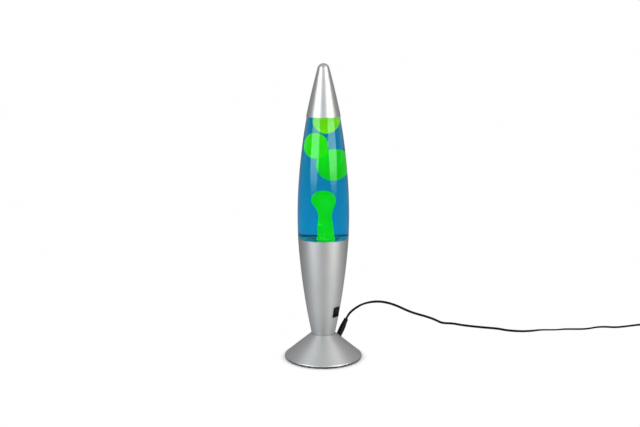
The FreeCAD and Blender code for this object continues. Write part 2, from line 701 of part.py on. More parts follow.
def lampholder():
    body = doc.addObject("PartDesign::Body", "lampholder")
    block = pad(body, "block", rectangle(Sizes.holder_width, Sizes.holder_length),
                Sizes.holder_height)
    doc.recompute()
    uprights = [f"Edge{index + 1}" for index, edge in enumerate(block.Shape.Edges)
                if abs(edge.tangentAt(edge.FirstParameter).z) > 0.99]
    rounding = body.newObject("PartDesign::Fillet", "rounded_corners")
    rounding.Base = (block, uprights)
    bind(rounding, "Radius", Sizes.holder_corner)
    doc.recompute()
    top = raised(Sizes.holder_height.value)
    spread = Sizes.holder_screw_spread / 2
    pin = Sizes.bulb_pin_spread / 2
    bores = new_sketch(body, "bores", "XY_Plane", top)
    contact_hole = Sizes.bulb_pin_radius + Sizes.pin_fit + Sizes.contact_wall + Sizes.pin_fit
    draw_circle(bores, contact_hole, 0, pin)
    draw_circle(bores, contact_hole, 0, -pin)
    draw_circle(bores, Sizes.screw_radius + Sizes.panel_fit, 0, spread)
    draw_circle(bores, Sizes.screw_radius + Sizes.panel_fit, 0, -spread)
    pocket(body, "through_bores", bores, Sizes.holder_height)
    sinks = new_sketch(body, "sinks", "XY_Plane", top)
    draw_circle(sinks, Sizes.screw_head_radius + Sizes.panel_fit, 0, spread)
    draw_circle(sinks, Sizes.screw_head_radius + Sizes.panel_fit, 0, -spread)
    pocket(body, "head_sinks", sinks, Sizes.screw_head_height + Sizes.panel_fit)
    place(body, z=holder_bottom)
    keep(body, "lampholder")

    contact_bore = Sizes.bulb_pin_radius + Sizes.pin_fit
    contacts = []
    screws = []
    for name, side in (("back", 1), ("front", -1)):
        contact = tube(f"contact_{name}", contact_bore + Sizes.contact_wall, contact_bore,
                       Sizes.holder_height + Sizes.contact_tail - Sizes.running_gap)
        place(contact, y=side * pin, z=holder_bottom - Sizes.contact_tail)
        contacts.append(contact)
        screw = doc.addObject("Part::Fuse", f"screw_{name}")
        under_head = Sizes.holder_height - Sizes.screw_head_height - Sizes.panel_fit
        screw.Base = cylinder(f"shank_{name}", Sizes.screw_radius,
                              under_head + 2 * Sizes.bracket_sheet, z=-2 * Sizes.bracket_sheet)
        screw.Tool = cylinder(f"head_{name}", Sizes.screw_head_radius,
                              Sizes.screw_head_height, z=under_head)
        place(screw, y=side * spread, z=holder_bottom)
        screws.append(screw)
    group("holder_contacts", contacts)
    group("holder_screws", screws)


def bulb():
    """A two-pin reflector bulb: glass reflector, front glass, capsule, cement and pins."""
    rim_low = bulb_top - Sizes.bulb_rim_height
    neck_top = bulb_bottom + Sizes.bulb_neck_height
    neck_bore = Sizes.bulb_neck_radius - 2 * Sizes.bulb_glass
    bowl_low = (Sizes.bulb_neck_radius + Sizes.bulb_glass, neck_top)
    bowl_high = (Sizes.bulb_radius - Sizes.bulb_glass, rim_low)
    lip = bulb_top - Sizes.front_glass
    turned("bulb_reflector", [
        (neck_bore, bulb_bottom),
        (Sizes.bulb_neck_radius, bulb_bottom),
        (*bowl_low, Sizes.bulb_bowl_swell),
        bowl_high,
        (Sizes.bulb_radius, rim_low),
        (Sizes.bulb_radius, lip),
        (Sizes.bulb_radius - 2 * Sizes.bulb_glass, lip, -Sizes.bulb_bowl_swell),
        (neck_bore, neck_top + Sizes.bulb_glass),
    ], bulb_bottom)
    turned("bulb_front_glass", [
        (0, lip),
        (Sizes.bulb_radius, lip),
        (Sizes.bulb_radius, bulb_top),
        (0, bulb_top),
    ], lip)

    cement_top = bulb_bottom + Sizes.bulb_neck_height - Sizes.bulb_glass
    cement = doc.addObject("Part::Cut", "bulb_cement")
    cement.Base = cylinder("cement_plug", neck_bore, cement_top - bulb_bottom)
    pin = Sizes.bulb_pin_spread / 2
    sockets = doc.addObject("Part::MultiFuse", "pin_sockets")
    sockets.Shapes = [
        cylinder(f"pin_socket_{name}", Sizes.bulb_pin_radius, Sizes.bulb_pin_root, y=side * pin)
        for name, side in (("back", 1), ("front", -1))]
    cement.Tool = sockets
    place(cement, z=bulb_bottom)
    keep(cement, "bulb_cement")
    group("bulb_pins", [
        cylinder(f"pin_{name}", Sizes.bulb_pin_radius, Sizes.bulb_pin_length + Sizes.bulb_pin_root,
                 y=side * pin, z=bulb_bottom - Sizes.bulb_pin_length)
        for name, side in (("back", 1), ("front", -1))])

    tip = cement_top + Sizes.capsule_length
    turned("bulb_capsule", [
        (0, cement_top),
        (Sizes.capsule_radius - Sizes.bulb_glass, cement_top),
        (Sizes.capsule_radius - Sizes.bulb_glass, cement_top + Sizes.capsule_radius),
        (Sizes.capsule_radius, cement_top + 2 * Sizes.capsule_radius),
        (Sizes.capsule_radius, tip - Sizes.capsule_radius,
         dome_swell(Sizes.capsule_radius, Sizes.capsule_radius)),
        (0, tip),
    ], cement_top)


def bottle_seat():
    """A pressed ring wedged in the taper of the upper base, and a soft ring on its flange."""
    seat_top = bottle_bottom - Sizes.running_gap - Sizes.gasket_thickness
    under = seat_top - Sizes.seat_sheet
    low = seat_top - Sizes.seat_depth
    inset = Sizes.base_wall + Sizes.pin_fit
    turned("bottle_seat", [
        (Sizes.seat_hole, under),
        (base_arch.at(under) - inset - Sizes.seat_sheet, under),
        (base_arch.at(low) - inset - Sizes.seat_sheet, low),
        (base_arch.at(low) - inset, low),
        (base_arch.at(seat_top) - inset, seat_top),
        (Sizes.seat_hole, seat_top),
    ], low)
    turned("seat_gasket", [
        (Sizes.seat_hole, seat_top),
        (Sizes.seat_hole + Sizes.gasket_width, seat_top),
        (Sizes.seat_hole + Sizes.gasket_width, seat_top + Sizes.gasket_thickness),
        (Sizes.seat_hole, seat_top + Sizes.gasket_thickness),
    ], seat_top)


def tube_along(path, radius):
    """A solid round tube along a path."""
    first = path.Edges[0]
    start = first.valueAt(first.FirstParameter)
    way = first.tangentAt(first.FirstParameter)
    section = Part.Wire([Part.makeCircle(radius, start, way)])
    return path.makePipeShell([section], True, False)


def feature(label, shape):
    part = doc.addObject("Part::Feature", label)
    part.Shape = shape
    return keep(part, label)


def biarc(start, start_way, end, end_way):
    """Two arcs from one point and direction to another, tangent where they meet."""
    span = end - start
    ways = start_way + end_way
    spread = 2 * (1 - start_way.dot(end_way))
    along = span.dot(ways)
    reach = (math.sqrt(along * along + spread * span.dot(span)) - along) / spread
    joint = (start + end + (start_way - end_way) * reach) * 0.5
    edges = []
    for first, way, last in ((start, start_way, joint), (joint, None, end)):
        if way is None:
            way = (end - end_way * reach - joint).normalize()
        chord = last - first
        side = chord - way * chord.dot(way)
        radius = chord.dot(chord) / (2 * side.Length)
        centre = first + side.normalize() * radius
        middle = centre + ((first + last) * 0.5 - centre).normalize() * radius
        edges.append(Part.Arc(first, middle, last).toShape())
    return edges


def way_at(point_at, angle):
    """The direction of a winding, whose points are given by angle."""
    small = 1e-4
    return (point_at(angle + small) - point_at(angle - small)).normalize()


def winding_arcs(point_at, quarters, end_way=None):
    """Tangent arcs along a winding, two for each quarter turn."""
    edges = []
    for quarter in range(quarters):
        near, far = quarter * math.pi / 2, (quarter + 1) * math.pi / 2
        near_way = end_way if end_way and quarter == 0 else way_at(point_at, near)
        far_way = end_way if end_way and quarter == quarters - 1 else way_at(point_at, far)
        edges += biarc(point_at(near), near_way, point_at(far), far_way)
    return edges


# The bottle's outside and inside curves
ledge = rim_height + Sizes.running_gap
mouth = cap_bottom + Sizes.shoulder_height + Sizes.neck_height
shoulder_top = cap_bottom + Sizes.shoulder_height
bottle_low = (Sizes.bottle_low_radius, ledge + Sizes.ledge_corner)
bottle_mid = (Sizes.bottle_mid_radius, rim_height + Sizes.bottle_mid_height)
bottle_high = (Sizes.cap_radius - Sizes.cap_wall - Sizes.running_gap, cap_bottom)
low_arch = Arch(bottle_low, bottle_mid, Sizes.bottle_low_swell)
high_arch = Arch(bottle_mid, bottle_high, Sizes.bottle_high_swell)
floor_top = bottle_bottom + Sizes.glass_floor
inner_low_height = floor_top + Sizes.inner_corner
inner_low = (low_arch.at(inner_low_height) - Sizes.glass_wall, inner_low_height)
inner_mid = (bottle_mid[0] - Sizes.glass_wall, bottle_mid[1])
inner_high = (bottle_high[0] - Sizes.glass_wall, cap_bottom)
inner_corner_swell = quarter_swell(Sizes.inner_corner)


def glass_bottle():
    spigot = base_arch.at(bottle_bottom) - Sizes.base_wall - Sizes.running_gap
    corner = Sizes.ledge_corner
    hollow_edge = Sizes.heel_radius - Sizes.stand_width
    lip_low = mouth - Sizes.lip_height
    turned("glass_bottle", [
        (0, bottle_bottom + Sizes.punt),
        (hollow_edge - Sizes.punt_slope, bottle_bottom + Sizes.punt),
        (hollow_edge, bottle_bottom),
        (Sizes.heel_radius, bottle_bottom, Sizes.heel_swell),
        (spigot, bottle_bottom + Sizes.heel_rise),
        (spigot, ledge),
        (Sizes.bottle_low_radius - corner, ledge, quarter_swell(corner)),
        (*bottle_low, Sizes.bottle_low_swell),
        (*bottle_mid, Sizes.bottle_high_swell),
        (*bottle_high, Sizes.shoulder_swell),
        (Sizes.bottle_neck_radius, shoulder_top),
        (Sizes.bottle_neck_radius, lip_low),
        (Sizes.lip_radius, lip_low + corner),
        (Sizes.lip_radius, mouth - corner, quarter_swell(corner)),
        (Sizes.lip_radius - corner, mouth),
        (Sizes.bottle_bore, mouth),
        (Sizes.bottle_bore, shoulder_top, -Sizes.inner_shoulder_swell),
        (*inner_high, -high_arch.swell(bottle_mid, bottle_high)),
        (*inner_mid, -low_arch.swell(inner_low, inner_mid)),
        (*inner_low, -inner_corner_swell),
        (inner_low[0] - Sizes.inner_corner, floor_top),
        (0, floor_top),
    ], bottle_bottom)


# The wax: heights are parts of the way from the bottle's floor to the cap's lower edge
wax_room = cap_bottom - floor_top
column_height = wax_room * 0.399

# Rings of the wax column up to its widest: part of the column's height, then the ring's
# radius and how far its middle stands to the right, both as parts of the head's radius
COLUMN_RINGS = [
    (0, 0.77, 0.19),
    (0.15, 0.66, 0.19),
    (0.43, 0.56, 0.145),
    (0.57, 0.61, 0.13),
    (0.69, 0.84, 0.075),
    (0.81, 1, 0),
]
column_foot_x = Sizes.column_head * COLUMN_RINGS[0][2]


def column_body(name):
    """The outside of the wax column: a leaning stem that widens into a domed head."""
    rings = []
    for number, (share, width, lean) in enumerate(COLUMN_RINGS):
        ring = doc.addObject("Part::Circle", f"{name}_ring_{number}")
        bind(ring, "Radius", Sizes.column_head * width)
        place(ring, x=Sizes.column_head * lean, z=floor_top + column_height * share)
        rings.append(ring)
    stem = doc.addObject("Part::Loft", f"{name}_stem")
    stem.Sections = rings
    stem.Solid = True
    widest = COLUMN_RINGS[-1][0]
    dome = doc.addObject("Part::Ellipsoid", f"{name}_dome")
    dome.Angle1 = 0
    bind(dome, "Radius1", column_height * (1 - widest))
    bind(dome, "Radius2", Sizes.column_head)
    bind(dome, "Radius3", Sizes.column_head)
    place(dome, z=floor_top + column_height * widest)
    body = doc.addObject("Part::Fuse", name)
    body.Base = stem
    body.Tool = dome
    return body


def wax_column():
    """The wax that stands on the bottle's floor, round the wire spring."""
    clear = Sizes.spring_wire + Sizes.spring_room
    height = Sizes.spring_turns * Sizes.spring_pitch + Sizes.spring_wire + clear
    room = tube("spring_hollow", Sizes.spring_radius + clear, Sizes.spring_radius - clear, height)
    place(room, x=column_foot_x, z=floor_top)
    column = doc.addObject("Part::Cut", "wax_column")
    column.Base = column_body("column_outside")
    column.Tool = room
    keep(column, "wax_column")


# Free wax: name, height of its middle and its half height, as parts of the wax's room, then
# how far it stands to the right and to the back and its radius, as parts of the bottle's bore
WAX_BLOBS = [
    ("wax_blob_left", 0.766, 0.104, -0.334, -0.263, 0.525),
    ("wax_blob_right", 0.602, 0.128, 0.315, 0.218, 0.544),
    ("wax_blob_top", 0.959, 0.1, 0.134, 0, 0.634),
]


def wax_blobs():
    blobs = []
    for name, up, half, right, back, width in WAX_BLOBS:
        height = floor_top + wax_room * up
        arch = low_arch if height.value < bottle_mid[1].value else high_arch
        bore = arch.at(height) - Sizes.glass_wall
        blob = doc.addObject("Part::Ellipsoid", name)
        bind(blob, "Radius1", wax_room * half)
        bind(blob, "Radius2", bore * width)
        bind(blob, "Radius3", bore * width)
        place(blob, bore * right, bore * back, height)
        blobs.append(keep(blob, name))
    return blobs


def liquid(blobs):
    """What fills the bottle round the wax, up to the neck."""
    level = mouth - Sizes.fill_gap
    body = turned("liquid_fill", [
        (0, floor_top),
        (inner_low[0] - Sizes.inner_corner, floor_top, inner_corner_swell),
        (*inner_low, low_arch.swell(inner_low, inner_mid)),
        (*inner_mid, high_arch.swell(bottle_mid, bottle_high)),
        (*inner_high, Sizes.inner_shoulder_swell),
        (Sizes.bottle_bore, shoulder_top),
        (Sizes.bottle_bore, level),
        (0, level),
    ])
    sub_parts.remove(body)
    room = doc.addObject("Part::MultiFuse", "wax_room")
    room.Shapes = [column_body("column_room"), *blobs]
    left = doc.addObject("Part::Cut", "liquid")
    left.Base = body
    left.Tool = room
    keep(left, "liquid")


def wax_spring():
    """A short spring of wire on the bottle's floor, which joins the sinking wax."""
    def point(angle):
        return Vector(Sizes.spring_radius.value * math.cos(angle),
                      Sizes.spring_radius.value * math.sin(angle),
                      Sizes.spring_pitch.value * angle / (2 * math.pi))

    quarters = round(4 * Sizes.spring_turns.value)
    path = Part.Wire(winding_arcs(point, quarters))
    spring = feature("wax_spring", tube_along(path, Sizes.spring_wire.value))
    place(spring, x=column_foot_x, z=floor_top + Sizes.spring_wire)


def closure():
    """The crown closure over the bottle's lip, with its sealing disc."""
    top = mouth + Sizes.liner_thickness
    sheet_t = Sizes.crown_sheet
    inside = Sizes.lip_radius + Sizes.thread_fit
    shoulder = Sizes.liner_thickness
    low = top - Sizes.crown_skirt
    crown = turned("crown_closure", [
        (0, top),
        (inside - shoulder, top),
        (inside, top - shoulder),
        (inside + Sizes.crown_flare, low),
        (inside + Sizes.crown_flare + sheet_t, low),
        (inside + sheet_t, top - shoulder + sheet_t, quarter_swell(shoulder)),
        (inside - shoulder + sheet_t, top + sheet_t),
        (0, top + sheet_t),
    ], low)
    flute = new_sketch(crown, "flute", "XY_Plane")
    draw_circle(flute, Sizes.crown_flare, inside + Sizes.crown_flare + 2 * sheet_t)
    cut = pocket(crown, "first_flute", flute, Sizes.flute_height, reverse=True)
    flutes = crown.newObject("PartDesign::PolarPattern", "flutes")
    flutes.Originals = [cut]
    flutes.Axis = (origin_plane(crown, "Z_Axis"), [""])
    flutes.Angle = 360
    bind(flutes, "Occurrences", Sizes.flute_count)
    crown.Tip = flutes
    liner = Sizes.lip_radius - Sizes.ledge_corner - sheet_t
    keep(cylinder("sealing_disc", liner, Sizes.liner_thickness, z=mouth), "sealing_disc")


def top_cap():
    """A spun cone, open below, with a rounded nose."""
    wall = Sizes.cap_wall
    nose_low = cap_bottom + Sizes.cap_height - Sizes.nose_height
    tip = cap_bottom + Sizes.cap_height
    inner_nose = Sizes.nose_radius - wall
    turned("top_cap", [
        (Sizes.cap_radius, cap_bottom, Sizes.cap_swell),
        (Sizes.nose_radius, nose_low, dome_swell(Sizes.nose_radius, Sizes.nose_height)),
        (0, tip),
        (0, tip - wall, -dome_swell(inner_nose, Sizes.nose_height - wall)),
        (inner_nose, nose_low, -Sizes.cap_swell),
        (Sizes.cap_radius - wall, cap_bottom),
    ], cap_bottom)


def terminal_tab(name, across, along):
    tab = doc.addObject("Part::Box", name)
    bind(tab, "Length", across)
    bind(tab, "Width", along)
    bind(tab, "Height", Sizes.tab_length)
    return tab


def rocker_switch():
    """The housing with its bezel, the rocker on its trunnions, and the terminals."""
    housing = doc.addObject("PartDesign::Body", "switch_housing")
    bezel = pad(housing, "bezel", rectangle(Sizes.bezel_width, Sizes.bezel_length),
                Sizes.bezel_height)
    bind(bezel, "TaperAngle", -Sizes.bezel_slope)
    box = pad(housing, "box", rectangle(Sizes.switch_body_width, Sizes.switch_body_length),
              Sizes.switch_body_depth)
    box.Reversed = True
    window = new_sketch(housing, "window", "XY_Plane", raised(Sizes.bezel_height.value))
    draw_outline(window, rectangle(Sizes.rocker_width + 2 * Sizes.running_gap,
                                   Sizes.rocker_length + 2 * Sizes.running_gap))
    pocket(housing, "rocker_room", window, Sizes.bezel_height + Sizes.rocker_room)
    bearings = new_sketch(housing, "bearings", "YZ_Plane")
    draw_circle(bearings, Sizes.trunnion_radius + Sizes.pin_fit, 0, Sizes.rocker_pivot)
    pocket(housing, "bearing_holes", bearings,
           Sizes.rocker_width + 2 * Sizes.running_gap + 2 * Sizes.trunnion_length,
           midplane=True)
    housing.Placement = switch_place
    keep(housing, "switch_housing")

    rocker = doc.addObject("PartDesign::Body", "switch_rocker")
    reach = Sizes.rocker_length / 2
    top = Sizes.rocker_rise
    corner_across = root(reach * reach - top * top)
    side_chord = length_between((reach, 0), (corner_across, top))
    side_swell = reach - root(reach * reach - side_chord * side_chord / 4)
    heel = Sizes.rocker_heel
    heel_depth = Sizes.rocker_room + Sizes.rocker_pivot - 3 * Sizes.running_gap
    pad(rocker, "paddle", [
        (-heel, -heel_depth),
        (heel, -heel_depth),
        (reach, 0, side_swell),
        (corner_across, top, -Sizes.rocker_dish),
        (-corner_across, top, side_swell),
        (-reach, 0),
    ], Sizes.rocker_width, role="YZ_Plane", midplane=True)
    pin_outline = new_sketch(rocker, "trunnion_outline", "YZ_Plane")
    draw_circle(pin_outline, Sizes.trunnion_radius)
    pins = rocker.newObject("PartDesign::Pad", "trunnions")
    pins.Profile = pin_outline
    bind(pins, "Length", Sizes.rocker_width + 2 * Sizes.trunnion_length)
    pins.Midplane = True
    tilt = FreeCAD.Placement(Vector(0, 0, Sizes.rocker_pivot.value),
                             FreeCAD.Rotation(Vector(1, 0, 0), -Sizes.rocker_tilt.value))
    rocker.Placement = switch_place.multiply(tilt)
    keep(rocker, "switch_rocker")

    tabs = []
    for name, side in (("high", 1), ("low", -1)):
        tab = terminal_tab(f"tab_{name}", Sizes.tab_width, Sizes.tab_sheet)
        corner = Vector(-Sizes.tab_width.value / 2,
                        side * Sizes.tab_spread.value / 2 - Sizes.tab_sheet.value / 2,
                        -Sizes.switch_body_depth.value - Sizes.tab_length.value)
        tab.Placement = switch_place.multiply(FreeCAD.Placement(corner, FreeCAD.Rotation()))
        tabs.append(tab)
    group("switch_tabs", tabs)


def supply_jack():
    """The socket in the foot: body, centre pin, nut inside the foot and two tabs."""
    bore = Sizes.plug_barrel_radius + Sizes.pin_fit * 2
    depth = Sizes.plug_barrel_length - Sizes.jack_flange_height + Sizes.running_gap
    body = turned("jack_body", [
        (0, -Sizes.jack_depth),
        (Sizes.jack_thread, -Sizes.jack_depth),
        (Sizes.jack_thread, 0),
        (Sizes.jack_flange, 0),
        (Sizes.jack_flange, Sizes.jack_flange_height),
        (bore, Sizes.jack_flange_height),
        (bore, -depth),
        (0, -depth),
    ], seat=None)
    body.Placement = jack_place
    pin_radius = Sizes.plug_barrel_bore - 2 * Sizes.pin_fit
    pin = turned("jack_pin", [
        (0, -depth),
        (pin_radius, -depth),
        (pin_radius, -pin_radius, dome_swell(pin_radius, pin_radius)),
        (0, 0),
    ], seat=None)
    pin.Placement = jack_place

    corner_reach = 2 * Sizes.jack_flange / math.sqrt(3)
    set_back = corner_reach * corner_reach / (2 * Sizes.jack_radius)
    nut = hex_nut("jack_nut", 2 * Sizes.jack_flange, Sizes.jack_nut_height,
                  Sizes.jack_thread + Sizes.thread_fit)
    nut_z = -Sizes.foot_wall.value - set_back.value - Sizes.jack_nut_height.value
    nut.Placement = jack_place.multiply(raised(nut_z))
    keep(nut, "jack_nut")

    tabs = []
    for name, side in (("left", 1), ("right", -1)):
        tab = terminal_tab(f"jack_tab_{name}", Sizes.tab_sheet, Sizes.tab_width)
        corner = Vector(side * Sizes.tab_width.value - Sizes.tab_sheet.value / 2,
                        -Sizes.tab_width.value / 2,
                        -Sizes.jack_depth.value - Sizes.tab_length.value)
        tab.Placement = jack_place.multiply(FreeCAD.Placement(corner, FreeCAD.Rotation()))
        tabs.append(tab)
    group("jack_tabs", tabs)


def supply_plug():
    """The lead's plug: a metal barrel in the jack, and a moulded grip."""
    face = Sizes.jack_flange_height.value
    barrel = tube("plug_barrel", Sizes.plug_barrel_radius, Sizes.plug_barrel_bore,
                  Sizes.plug_barrel_length)
    barrel.Placement = jack_place.multiply(raised(face - Sizes.plug_barrel_length.value))
    keep(barrel, "plug_barrel")
    length = Sizes.plug_length
    tail = Sizes.plug_tail_radius
    broad = Sizes.plug_grip_radius
    lip = Sizes.plug_lip
    grip = turned("plug_grip", [
        (0, 0),
        (broad - lip, 0, Sizes.plug_edge),
        (broad, Sizes.plug_swell_height, Sizes.plug_bulge),
        (tail + lip, length - 4 * lip),
        (tail + 2 * lip, length - 4 * lip),
        (tail + 2 * lip, length - lip, Sizes.plug_edge),
        (tail, length),
        (0, length),
    ], seat=None)
    grip.Placement = jack_place.multiply(raised(face))


def smooth_path(points, share=0.45):
    """Straight runs through a list of points, joined by tangent arcs; also the radii."""
    edges = []
    radii = []
    start = points[0]
    for before, corner, after in zip(points, points[1:], points[2:]):
        inward = before - corner
        outward = after - corner
        reach = share * min(inward.Length, outward.Length)
        turn = math.pi - inward.getAngle(outward)
        radius = reach / math.tan(turn / 2)
        first = corner + inward.normalize() * reach
        last = corner + outward.normalize() * reach
        centre_way = (inward + outward).normalize()
        centre = corner + centre_way * (radius / math.cos(turn / 2))
        middle = centre - centre_way * radius
        edges.append(Part.LineSegment(start, first).toShape())
        edges.append(Part.Arc(first, middle, last).toShape())
        radii.append(radius)
        start = last
    edges.append(Part.LineSegment(start, points[-1]).toShape())
    return Part.Wire(edges), radii


def tube_between(label, points, radius):
    """A tube through a list of points; prints its tightest bend and checks its volume."""
    path, radii = smooth_path(points)
    shape = tube_along(path, radius)
    whole = math.pi * radius * radius * path.Length
    if abs(shape.Volume - whole) > 0.01 * whole:
        raise RuntimeError(f"{label} doesn't fill its section")
    print(f"{label}: length {path.Length:.0f}, radii {min(radii):.1f} to {max(radii):.0f}")
    return feature(label, shape)


def inner_wires():
    """Three insulated wires: jack to switch, switch to holder, and holder back to jack."""
    tab_end = Sizes.jack_depth.value + Sizes.tab_length.value
    box_end = Sizes.switch_body_depth.value + Sizes.tab_length.value
    touch = Sizes.table_gap.value

    def at_jack(side, beyond):
        return jack_place.multVec(Vector(side * Sizes.tab_width.value, 0, -tab_end - beyond))

    def at_switch(side, beyond):
        return switch_place.multVec(
            Vector(0, side * Sizes.tab_spread.value / 2, -box_end - beyond))

    unit = Sizes.foot_height.value
    straight = 0.1 * unit
    contact = Sizes.bulb_pin_spread.value / 2
    contact_end = holder_bottom.value - Sizes.contact_tail.value
    switch = Sizes.switch_height.value

    def point(x, y, z):
        """A point given in heights of the foot."""
        return Vector(x, y, z) * unit

    def upper(x, y, share):
        """A point beside the axis, on the way from the switch up to the holder's contacts."""
        return Vector(x * unit, y * unit, switch + (contact_end - switch) * share)

    def under_switch(x, y, share):
        """A point beside the axis, on the way from the foot's top up to the switch."""
        return Vector(x * unit, y * unit, unit + (switch - unit) * share)

    feed = [
        at_jack(-1, touch), at_jack(-1, straight), point(0.24, 0.19, 0.17),
        point(0.07, 0, 0.36), point(0.029, -0.024, 0.63), under_switch(0.029, -0.024, 0.25),
        under_switch(0.035, -0.03, 0.61), at_switch(-1, 2 * straight), at_switch(-1, touch)]
    back = [
        at_jack(1, touch), at_jack(1, straight), point(0.13, 0.3, 0.17),
        point(-0.015, 0.1, 0.36), point(-0.029, 0.024, 0.63), under_switch(-0.029, 0.024, 0.25),
        under_switch(-0.074, 0.086, 0.64), upper(-0.043, 0.13, 0.27),
        Vector(0, contact, contact_end - 2 * straight), Vector(0, contact, contact_end - touch)]
    lit = [
        at_switch(1, touch), at_switch(1, straight), upper(0.051, -0.097, 0.5),
        Vector(0, -contact, contact_end - 2 * straight), Vector(0, -contact, contact_end - touch)]
    tube_between("wire_feed", feed, Sizes.wire_radius.value)
    tube_between("wire_return", back, Sizes.wire_radius.value)
    tube_between("wire_switched", lit, Sizes.wire_radius.value)


# The wound lead
lead_radius = Sizes.lead_width.value / 2
coil_low = lead_radius + Sizes.tie_sheet.value + 2 * Sizes.running_gap.value
coil_middle = Vector(Sizes.coil_x.value, Sizes.coil_y.value, 0)
coil_half_angle = 2 * math.pi * Sizes.coil_turns.value


def coil_point(angle):
    """A point of the spiral in and out again; it climbs a layer where it reverses."""
    step = Sizes.coil_step.value / (2 * math.pi)
    least = Sizes.coil_radius.value - step * coil_half_angle
    past = angle - coil_half_angle
    rise = min(max(past / math.pi + 0.5, 0), 1)
    if abs(past) < math.pi / 2:
        radius = least + step * (past * past / math.pi + math.pi / 4)
    else:
        radius = least + step * abs(past)
    height = coil_low + Sizes.coil_rise.value * rise * rise * (3 - 2 * rise)
    turn = angle - math.pi / 2
    return coil_middle + Vector(radius * math.cos(turn), radius * math.sin(turn), height)


coil_quarters = round(4 * 2 * Sizes.coil_turns.value)
coil_start = coil_point(0)
coil_end = coil_point(coil_quarters * math.pi / 2)
rightwards = Vector(1, 0, 0)


def wound_lead():
    """The unseen length of the lead, in two layers of turns on the table, and its tie."""
    straight = Sizes.lead_width.value
    edges = [Part.LineSegment(coil_start - rightwards * straight, coil_start).toShape()]
    edges += winding_arcs(coil_point, coil_quarters, rightwards)
    edges.append(Part.LineSegment(coil_end, coil_end + rightwards * straight).toShape())
    path = Part.Wire(edges)
    shape = tube_along(path, lead_radius)
    whole = math.pi * lead_radius * lead_radius * path.Length
    if abs(shape.Volume - whole) > 0.01 * whole:
        raise RuntimeError("the wound lead doesn't fill its section")
    feature("lead_coil", shape)

    samples = [coil_point(2 * coil_half_angle * index / 1200) for index in range(1201)]
    apart = 60
    least = min(a.distanceToPoint(b) for index, a in enumerate(samples)
                for b in samples[index + apart:])
    print(f"lead_coil: length {path.Length:.0f}, least gap {least - 2 * lead_radius:.2f}")

    inner = Sizes.coil_radius - Sizes.coil_step * (Sizes.coil_turns + 0.25)
    outer = Sizes.coil_radius
    room = Sizes.lead_width / 2 + Sizes.running_gap
    band = Sizes.tie_sheet
    low = Sizes.running_gap
    high = low + band + 2 * Sizes.running_gap + Sizes.coil_rise + Sizes.lead_width
    tie = doc.addObject("PartDesign::Body", "coil_tie")
    pad(tie, "band", [
        (inner - room - band, low),
        (outer + room + band, low),
        (outer + room + band, high + band),
        (inner - room - band, high + band),
    ], Sizes.tie_width, role="YZ_Plane", midplane=True)
    gap = new_sketch(tie, "band_inside", "YZ_Plane")
    draw_outline(gap, [
        (inner - room, low + band),
        (outer + room, low + band),
        (outer + room, high),
        (inner - room, high),
    ])
    pocket(tie, "band_room", gap, 2 * Sizes.tie_width, midplane=True)
    place(tie, Sizes.coil_x, Sizes.coil_y)
    keep(tie, "coil_tie")


def supply_adapter():
    """The plug-in adapter at the lead's far end, lying on its back with its pins up."""
    body = doc.addObject("PartDesign::Body", "adapter_body")
    half = Sizes.adapter_length / 2
    block = pad(body, "case", rectangle(Sizes.adapter_length, Sizes.adapter_width, half),
                Sizes.adapter_height)
    doc.recompute()
    uprights = [f"Edge{index + 1}" for index, edge in enumerate(block.Shape.Edges)
                if abs(edge.tangentAt(edge.FirstParameter).z) > 0.99]
    corners = body.newObject("PartDesign::Fillet", "case_corners")
    corners.Base = (block, uprights)
    bind(corners, "Radius", Sizes.adapter_corner)
    doc.recompute()
    flat_edges = [f"Edge{index + 1}" for index, edge in enumerate(corners.Shape.Edges)
                  if edge.BoundBox.ZLength < 1e-6]
    rims = body.newObject("PartDesign::Fillet", "case_rims")
    rims.Base = (corners, flat_edges)
    bind(rims, "Radius", Sizes.adapter_edge)
    doc.recompute()
    face = new_sketch(body, "boss_outline", "XY_Plane", raised(Sizes.adapter_height.value))
    end_round = Sizes.boss_width / 2
    side = Sizes.boss_length / 2 - end_round
    almost_round = end_round - 0.0001
    draw_outline(face, [
        (half + end_round, side, almost_round),
        (half - end_round, side),
        (half - end_round, -side, almost_round),
        (half + end_round, -side),
    ])
    boss = body.newObject("PartDesign::Pad", "boss")
    boss.Profile = face
    bind(boss, "Length", Sizes.boss_height)
    middle_y = as_size(coil_end.y)
    place(body, Sizes.adapter_x, middle_y)
    keep(body, "adapter_body")

    pins = []
    for name, way in (("near", -1), ("far", 1)):
        pin = cylinder(f"adapter_pin_{name}", Sizes.adapter_pin_radius,
                       Sizes.adapter_pin_length, Sizes.adapter_x + half,
                       middle_y + way * Sizes.adapter_pin_spread / 2,
                       Sizes.adapter_height + Sizes.boss_height)
        pins.append(pin)
    group("adapter_pins", pins)

    relief = turned("adapter_relief", [
        (0, 0),
        (Sizes.relief_radius, 0),
        (Sizes.relief_end_radius, Sizes.relief_length),
        (0, Sizes.relief_length),
    ], seat=None)
    relief.Placement = FreeCAD.Placement(
        Vector(Sizes.adapter_x.value, coil_end.y, Sizes.adapter_height.value / 2),
        FreeCAD.Rotation(Vector(0, 0, 1), -rightwards))


